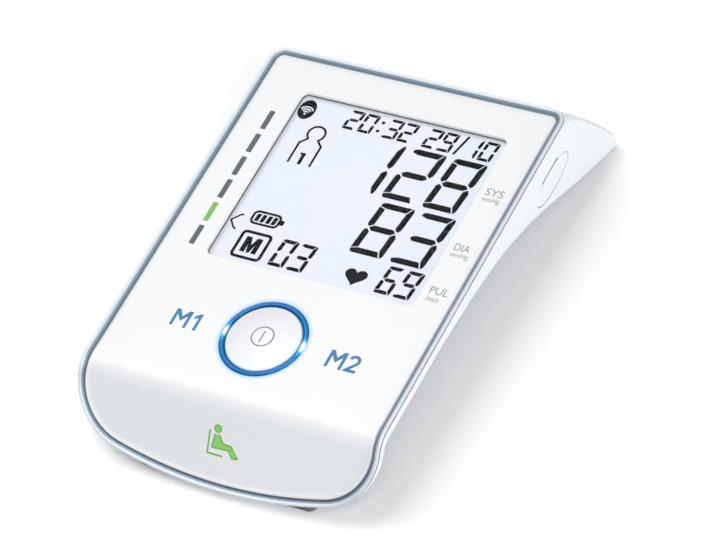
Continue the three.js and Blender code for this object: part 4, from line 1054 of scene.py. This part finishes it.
# Printing on the cover: screen-printed marks in grey, blue and green ink, a few hundredths of a
# millimetre thick. Beside the display six bars stand for the grades of the reading.
ink = 0.03
bar_middles = (87.5, 76.55, 65.75, 55.05, 44.35, 33.8)
bar_half = 4.25
bars = [box_outline(-46.25, -44.15, middle - bar_half, middle + bar_half, 0.25) for middle in bar_middles]
grey_bars = make_piece("print_grade_bars", *prisms(bars[:4] + bars[5:], 0, ink), sharp=30)
green_bar = make_piece("print_green_bar", *prisms(bars[4:5], 0, ink), sharp=30)
ink_grey = plain_ink("slate_grey_ink", ("#4b535b", "#545c64"), 0.4)
ink_green = plain_ink("leaf_green_ink", ("#70b648", "#7dc058"), 0.4)
finish_piece(grey_bars, ink_grey, "monitor", "seal_rubber")
finish_piece(green_bar, ink_green, "monitor", "indicator_green")


def lettering(words, x0, x1, y0, y1):
    """Printed words that just fill a box: the built-in letters as a thin solid, stretched to fit."""
    text = bpy.data.curves.new("words", "FONT")
    text.body = words
    text.extrude = 0.5
    text.resolution_u = 6
    holder = bpy.data.objects.new("words", text)
    bpy.context.scene.collection.objects.link(holder)
    ready = holder.evaluated_get(bpy.context.evaluated_depsgraph_get())
    mesh = bpy.data.meshes.new_from_object(ready)
    points = np.empty(3 * len(mesh.vertices))
    mesh.vertices.foreach_get("co", points)
    points = points.reshape(-1, 3)
    faces = [list(face.vertices) for face in mesh.polygons]
    bpy.data.objects.remove(holder)
    low, high = points.min(0), points.max(0)
    return (points - low) / (high - low) * (x1 - x0, y1 - y0, ink) + (x0, y0, 0), faces


labels = [lettering(*label) for label in (
    ("SYS", 46.0, 52.8, 78.2, 81.3), ("DIA", 46.2, 52.0, 53.3, 56.3), ("PUL", 46.3, 53.4, 34.1, 37.1),
    ("mmHg", 46.1, 52.6, 75.0, 77.5), ("mmHg", 46.3, 52.9, 49.9, 52.5),
    ("/min", 46.2, 51.2, 30.9, 33.3))]
grey_words = make_piece("print_grey_words", *stack(labels), sharp=30)
ink_pale = plain_ink("pale_grey_ink", ("#85898e", "#93979b"), 0.4)
finish_piece(grey_words, ink_pale, "monitor", "holder_grey")

letter_m = np.array([(0, 0), (1.15, 0), (1.15, 4.9), (3.2, 2.3), (5.25, 4.9), (5.25, 0), (6.4, 0),
                     (6.4, 7.1), (5.05, 7.1), (3.2, 4.4), (1.35, 7.1), (0, 7.1)])
figure_1 = np.array([(1.5, 0), (2.65, 0), (2.65, 7.1), (1.75, 7.1), (0, 5.7), (0, 4.35), (1.5, 5.4)])
key_foot = -4.1
keys = [letter_m + (-35.6, key_foot), figure_1 + (-27.9, key_foot), letter_m + (25.4, key_foot)]
keys += ribbon([*arc(35.05, 0.75, 1.7, 165, -40, 14), (33.5, -3.5), (37.3, -3.5)], 1.15)
blue_words = make_piece("print_memory_keys", *prisms(keys, 0, ink), sharp=30)
ink_blue = plain_ink("sky_blue_ink", ("#0f6ba0", "#167aad"), 0.35)
finish_piece(blue_words, ink_blue, "monitor", "ring_blue")

# The start sign on the key is a ring with a stroke in it, printed in fine grey lines.
sign_line = 0.45
stroke_x = -0.08
sign = ribbon(ellipse(3.95, 3.95, 48), sign_line, closed=True)
stops = np.linspace(-2.6, 2.2, 9)
sign += [piece for low, high in zip(stops, stops[1:])
         for piece in ribbon([(stroke_x, low), (stroke_x, high)], sign_line)]
points, faces = prisms(sign, 0, ink)
points[:, 2] += key_height(np.hypot(points[:, 0], points[:, 1]))
start_sign = make_piece("print_start_sign", points, faces, sharp=30)
ink_sign = plain_ink("mid_grey_ink", ("#6b6f74", "#787c81"), 0.4)
finish_piece(start_sign, ink_sign, "start_button", "holder_grey")

# On the lip, over the rest indicator's light, a plain seated figure in green: sit still and rest.
head = (-2.2, -36.6)
figure_lines = [ribbon(ellipse(1.25, 1.25, 24) + head, 0.45, closed=True),
                ribbon([(-3.1, -38.6), (-3.9, -43.4), (2.6, -43.2), (4.3, -45.6), (6.4, -45.3)], 0.5),
                ribbon([(-1.5, -38.5), (0.4, -41.3), (3.6, -41.6), (6.4, -45.3)], 0.5),
                ribbon([(-5.2, -37.6), (-5.4, -45.7), (0.6, -45.7)], 0.6)]
lines = [shape for group in figure_lines for shape in group]
fills = [[(-3.0, -38.7), (-3.7, -43.2), (2.7, -43.0), (4.5, -45.4), (6.2, -45.2), (3.4, -41.8),
          (0.4, -41.5), (-1.6, -38.7)], ellipse(1.2, 1.2, 24) + head]


def on_lip(name, outlines, height):
    """Printed outlines on the lip: thin solids drawn flat, then carried round the bend."""
    points, faces = prisms(outlines, 0, height)
    return make_piece(name, on_skin(*points.T), faces, sharp=30)


figure_outline = on_lip("print_rest_figure", lines, 0.05)
figure_fill = on_lip("print_rest_fill", fills, ink)
ink_lime = plain_ink("lime_green_ink", ("#8ccf66", "#a4db84"), 0.4)
finish_piece(figure_outline, ink_green, "monitor", "indicator_green")
finish_piece(figure_fill, ink_lime, "monitor", "indicator_green")


# Port cover: a soft-edged oval flap of the same white plastic, flush with the wall, over the charging
# socket. It is moulded as a shallow pan and hangs on a thin strap at its lower edge.
def along_wall(ring_insets):
    """Ovals on the splayed right wall, from (inset, distance in from the wall) pairs.

    Each is the flap's oval shrunk by its inset; x is the wall's own place at that depth, less the
    distance in.
    """
    turn = full_turn(96)
    rings = []
    for inset, inwards in ring_insets:
        y = port_y + (flap_half[0] - inset) * np.cos(turn)
        depth = port_depth + (flap_half[1] - inset) * np.sin(turn)
        x = half_width + side_splay * (depth - ledge_depth) - inwards
        rings.append(np.stack([x, y, -depth], -1))
    return rings


flap_face = [(4.15, 0), (3.0, 0), (1.6, 0), (0.5, 0.0), (0.3, 0.02), (0.12, 0.1), (0.03, 0.22), (0, 0.4)]
flap_back = [(0, 1.2), (0.06, 1.38), (0.2, 1.47), (0.35, 1.5), (1.0, 1.5), (1.15, 1.45), (1.2, 1.3),
             (1.25, 1.0), (3.0, 1.0), (4.15, 1.0)]
port_cover = make_piece("port_flap", *capped(along_wall(flap_face + flap_back)), sharp=35)
finish_piece(port_cover, white_abs, "port_cover", "white_abs", "port_cover")

# A black matt strip lines the slit for the finger nail above the flap: painted shadow in the slit.
slit_depth = port_depth - flap_half[1] - 0.28
lining_shape = rounded_rectangle(12.4, 0.48, 0.2, 3)
lining = sideways(lining_shape, half_width - 1.3, half_width + 0.1, port_y, slit_depth)
slit_shadow_lining = make_piece("slit_shadow_lining", *lining, sharp=35)
slit_shadow_black = matt_elastomer("black_slit_shadow", ("#24282c", "#2f343a"), 1200)
finish_piece(slit_shadow_lining, slit_shadow_black, "monitor", "seal_rubber")


# Charging socket: a drawn and folded steel shell round a black tongue, soldered to a small board at
# the bottom of the pocket. The tongue carries four gold-plated contacts on each face.
def drawn_metal(name, colours, roughness, stretch):
    """Plated, drawn or rolled metal: its colour and its gloss waver in streaks a millimetre wide, much
    coarser than the real ones, along the axis whose stretch is under 1.
    """
    material, tree = new_material(name)
    tone, streaks = speckled(tree, colours, 900.0, 3.0, stretch)
    rough = add(tree, "ShaderNodeMapRange",
                {"Value": streaks, "To Min": roughness, "To Max": roughness + 0.12})
    shader = add(tree, "ShaderNodeBsdfPrincipled",
                 {"Base Color": tone, "Metallic": 1.0, "Roughness": rough.outputs[0]})
    add(tree, "ShaderNodeOutputMaterial", {"Surface": shader.outputs[0]})
    return material


def sleeve(outer, inner, x0, x1, floor):
    """Points and faces of a sleeve across the body with a closed end: the outer outline from x0 to x1,
    then the inner one back to the floor inside. Both outlines have the same number of points.
    """
    rings = [level(outer, x0), level(outer, x1), level(inner, x1), level(inner, floor)]
    points, faces = capped(rings)
    return on_side(points, port_y, port_depth), faces


socket_back = 44.2
socket_front = 50.7
shell_outside = rounded_rectangle(7.6, 2.8, 1.3)
shell_inside = rounded_rectangle(7.0, 2.2, 1.05)
shell = sleeve(shell_outside, shell_inside, socket_back, socket_front, socket_back + 0.6)
charging_socket = make_piece("socket_shell", *shell, sharp=35)
bright_steel = drawn_metal("drawn_nickel_plated_steel", ("#b9bcbe", "#cfd1d2"), 0.22, (0.12, 1, 1))
finish_piece(charging_socket, bright_steel, "monitor", "bright_steel", "charging_socket")
tongue_shape = rounded_rectangle(5.0, 0.7, 0.25, 3)
tongue = make_piece("socket_tongue", *sideways(tongue_shape, socket_back + 0.3, socket_front - 0.6,
                                               port_y, port_depth), sharp=35)
moulded_black = plain_ink("moulded_black_resin", ("#17191b", "#222527"), 0.5)
finish_piece(tongue, moulded_black, "monitor", "chip_black")
contact_shape = rounded_rectangle(0.5, 0.12, 0.03, 2)
strips = [sideways(contact_shape, socket_front - 3.6, socket_front - 1.0, port_y + y, port_depth + z)
          for y in (-1.8, -0.6, 0.6, 1.8) for z in (-0.36, 0.36)]
contacts = make_piece("socket_contacts", *stack(strips), sharp=35)
gold_plate = drawn_metal("gold_plated_contact", ("#c99a3f", "#dcb25c"), 0.25, (0.2, 1, 1))
finish_piece(contacts, gold_plate, "monitor", "brass_disc")


# Cuff socket: a round grey socket in the left wall, which the plug of the cuff's hose is pushed into.
# Moulded in one, with a chamfered mouth, a rim that lies in its seat in the wall, and a barbed stem
# inside that the air tube is pushed over.
collar = [(3.5, 0.25), (3.75, 0), (6.65, 0), (6.82, 0.07), (6.9, 0.25), (6.9, 1.2), (5.4, 1.2),
          (5.4, 12.2), (1.7, 12.2)]
barbs = [(1.7, 13.2), (1.55, 13.35), (1.7, 13.9), (1.7, 14.4), (1.55, 14.55), (1.7, 15.1), (1.55, 16.4),
         (1.35, 16.7), (0.8, 16.7)]
bore = [(0.8, 11.0), (3.5, 11.0)]
points, faces = turned_profile(collar + barbs + bore, 72)
points = on_side(points, port_y, cuff_depth) + (cuff_x, 0, 0)
cuff_socket = make_piece("hose_socket", points, faces, sharp=35)


def moulded_plastic(name, colours, roughness):
    """Uncoated moulded plastic: an eroded mould's fine matt grain, drawn at 0.4 mm so that it shows."""
    material, tree = new_material(name)
    tone, grain = speckled(tree, colours, 2500.0, 2.0)
    bump = add(tree, "ShaderNodeBump", {"Height": grain, "Strength": 0.15, "Distance": 0.0001})
    shader = add(tree, "ShaderNodeBsdfPrincipled",
                 {"Base Color": tone, "Roughness": roughness, "Normal": bump.outputs[0]})
    add(tree, "ShaderNodeOutputMaterial", {"Surface": shader.outputs[0]})
    return material


holder_grey = moulded_plastic("moulded_grey_plastic", ("#c9ced2", "#d6dadd"), 0.42)
finish_piece(cuff_socket, holder_grey, "monitor", "holder_grey", "cuff_socket")


# Feet: four oblong pads of grey rubber with rounded lower edges, pressed into shallow seats under the
# lip and under the rear foot, so that the unit doesn't slide.
foot_width = 18.0
foot_length = 6.0
foot_edge = 0.5
foot_bevel = 0.3
foot_front_y = -87.848
foot_rear_y = 90.092
foot_places = {"front_left": (-26.0, foot_front_y, 4.4), "front_right": (26.0, foot_front_y, 4.4),
               "rear_left": (-42.0, foot_rear_y, 3.944), "rear_right": (42.0, foot_rear_y, 3.944)}
foot_rubber = matt_elastomer("matt_grey_rubber", ("#63676b", "#777b7f"), 1500)
rounding = [(foot_edge * (1 - math.cos(a)), foot_edge * (1 - math.sin(a)))
            for a in np.linspace(math.pi / 2, 0, 5)]
for corner, (x, y, top) in foot_places.items():
    rings = []
    for inset, height in rounding + [(0.0, top - foot_bevel), (foot_bevel, top)]:
        shape = rounded_rectangle(foot_width - 2 * inset, foot_length - 2 * inset, foot_length / 2 - inset)
        rings.append(level(shape + (x, y), height))
    points, faces = capped(rings)
    foot = make_piece("pad_" + corner, (points - panel_zero) @ panel_axes.T, faces, sharp=35)
    finish_piece(foot, foot_rubber, "monitor", "foot_rubber", "foot_" + corner)


# Screws: four pan-head thread-forming screws of nickel-plated steel, driven up from below into the
# cover's bosses. Cold-headed with a cross recess; the rolled thread is drawn as plain ridges.
arm_half = 0.28
arm_reach = 1.3
cross = np.array([(-arm_half, -arm_reach), (arm_half, -arm_reach), (arm_half, -arm_half)])
cross = np.concatenate([cross @ turned for turned in (
    ((1, 0), (0, 1)), ((0, 1), (-1, 0)), ((-1, 0), (0, -1)), ((0, -1), (1, 0)))])
screw_head = [(0, -8.4), (1.4, -8.4), (1.95, -8.28), (2.3, -8.0), (2.4, -7.6), (2.4, -6.9),
              (1.2, -6.9), (1.0, -6.7)]
thread = [(radius, -6.4 + 0.25 * k) for k, radius in enumerate([1.0, 1.2] * 8)]
screw_tip = [(0.6, -2.3), (0, -2.3)]
recess_low = -9.0
recess_high = -7.5
for (x, y), corner in zip(screw_places, ("front_left", "front_right", "rear_left", "rear_right")):
    points, faces = turned_profile(screw_head + thread + screw_tip, 40)
    screw = make_piece("pan_screw_" + corner, points + (x, y, 0), faces, sharp=30)
    points, faces = upright(cross, recess_low, recess_high)
    cut_away(screw, [make_piece("cutter", points + (x, y, 0), faces)], sharp=30)
    finish_piece(screw, bright_steel, "monitor", "bright_steel", "screw_" + corner)


# Inside: the display's holder and its light, the boards with their chips, the pump with its valve,
# manifold and tubes, the buzzer and the battery. The case hides them, so they keep the plain solids
# of the CAD and get their own finishes.
def solder_mask(name):
    """Green lacquer over copper tracks on glass-fibre board: the tracks show a little lighter."""
    material, tree = new_material(name)
    where = add(tree, "ShaderNodeTexCoord").outputs["Object"]
    tracks = add(tree, "ShaderNodeTexBrick",
                 {"Vector": where, "Color1": paint("#1d5c36"), "Color2": paint("#24683e"),
                  "Mortar": paint("#2f7d4c"), "Scale": 400.0, "Mortar Size": 0.03})
    shader = add(tree, "ShaderNodeBsdfPrincipled",
                 {"Base Color": tracks.outputs["Color"], "Roughness": 0.35, "Coat Weight": 0.3})
    add(tree, "ShaderNodeOutputMaterial", {"Surface": shader.outputs[0]})
    return material


diffuser_white = moulded_plastic("white_light_diffuser", ("#f4f6f9", "#fbfcff"), 0.6)
rolled_brass = drawn_metal("rolled_brass_disc", ("#b08a45", "#c49d58"), 0.3, (1, 0.15, 1))
battery_film = drawn_metal("silver_grey_battery_film", ("#9aa3ab", "#b2bac1"), 0.45, (1, 0.3, 1))
carried(diffuser_white, "backlight_panel")
carried(holder_grey, "display_holder", "air_manifold")
carried(foot_rubber, "display_connector", "touch_pad_m1", "touch_pad_m2")
carried(foot_rubber, "pump_mount_left", "pump_mount_right")
carried(solder_mask("green_solder_mask"), "main_board", "charging_board", "lip_board")
carried(moulded_black, "processor", "radio_module", "pump_head", "release_valve", "pressure_sensor")
carried(silicone, "air_tube_cuff", "air_tube_pump")
carried(bright_steel, "pump_motor")
carried(rolled_brass, "buzzer")
carried(battery_film, "battery")
carried(ink_lime, "rest_indicator_guide")
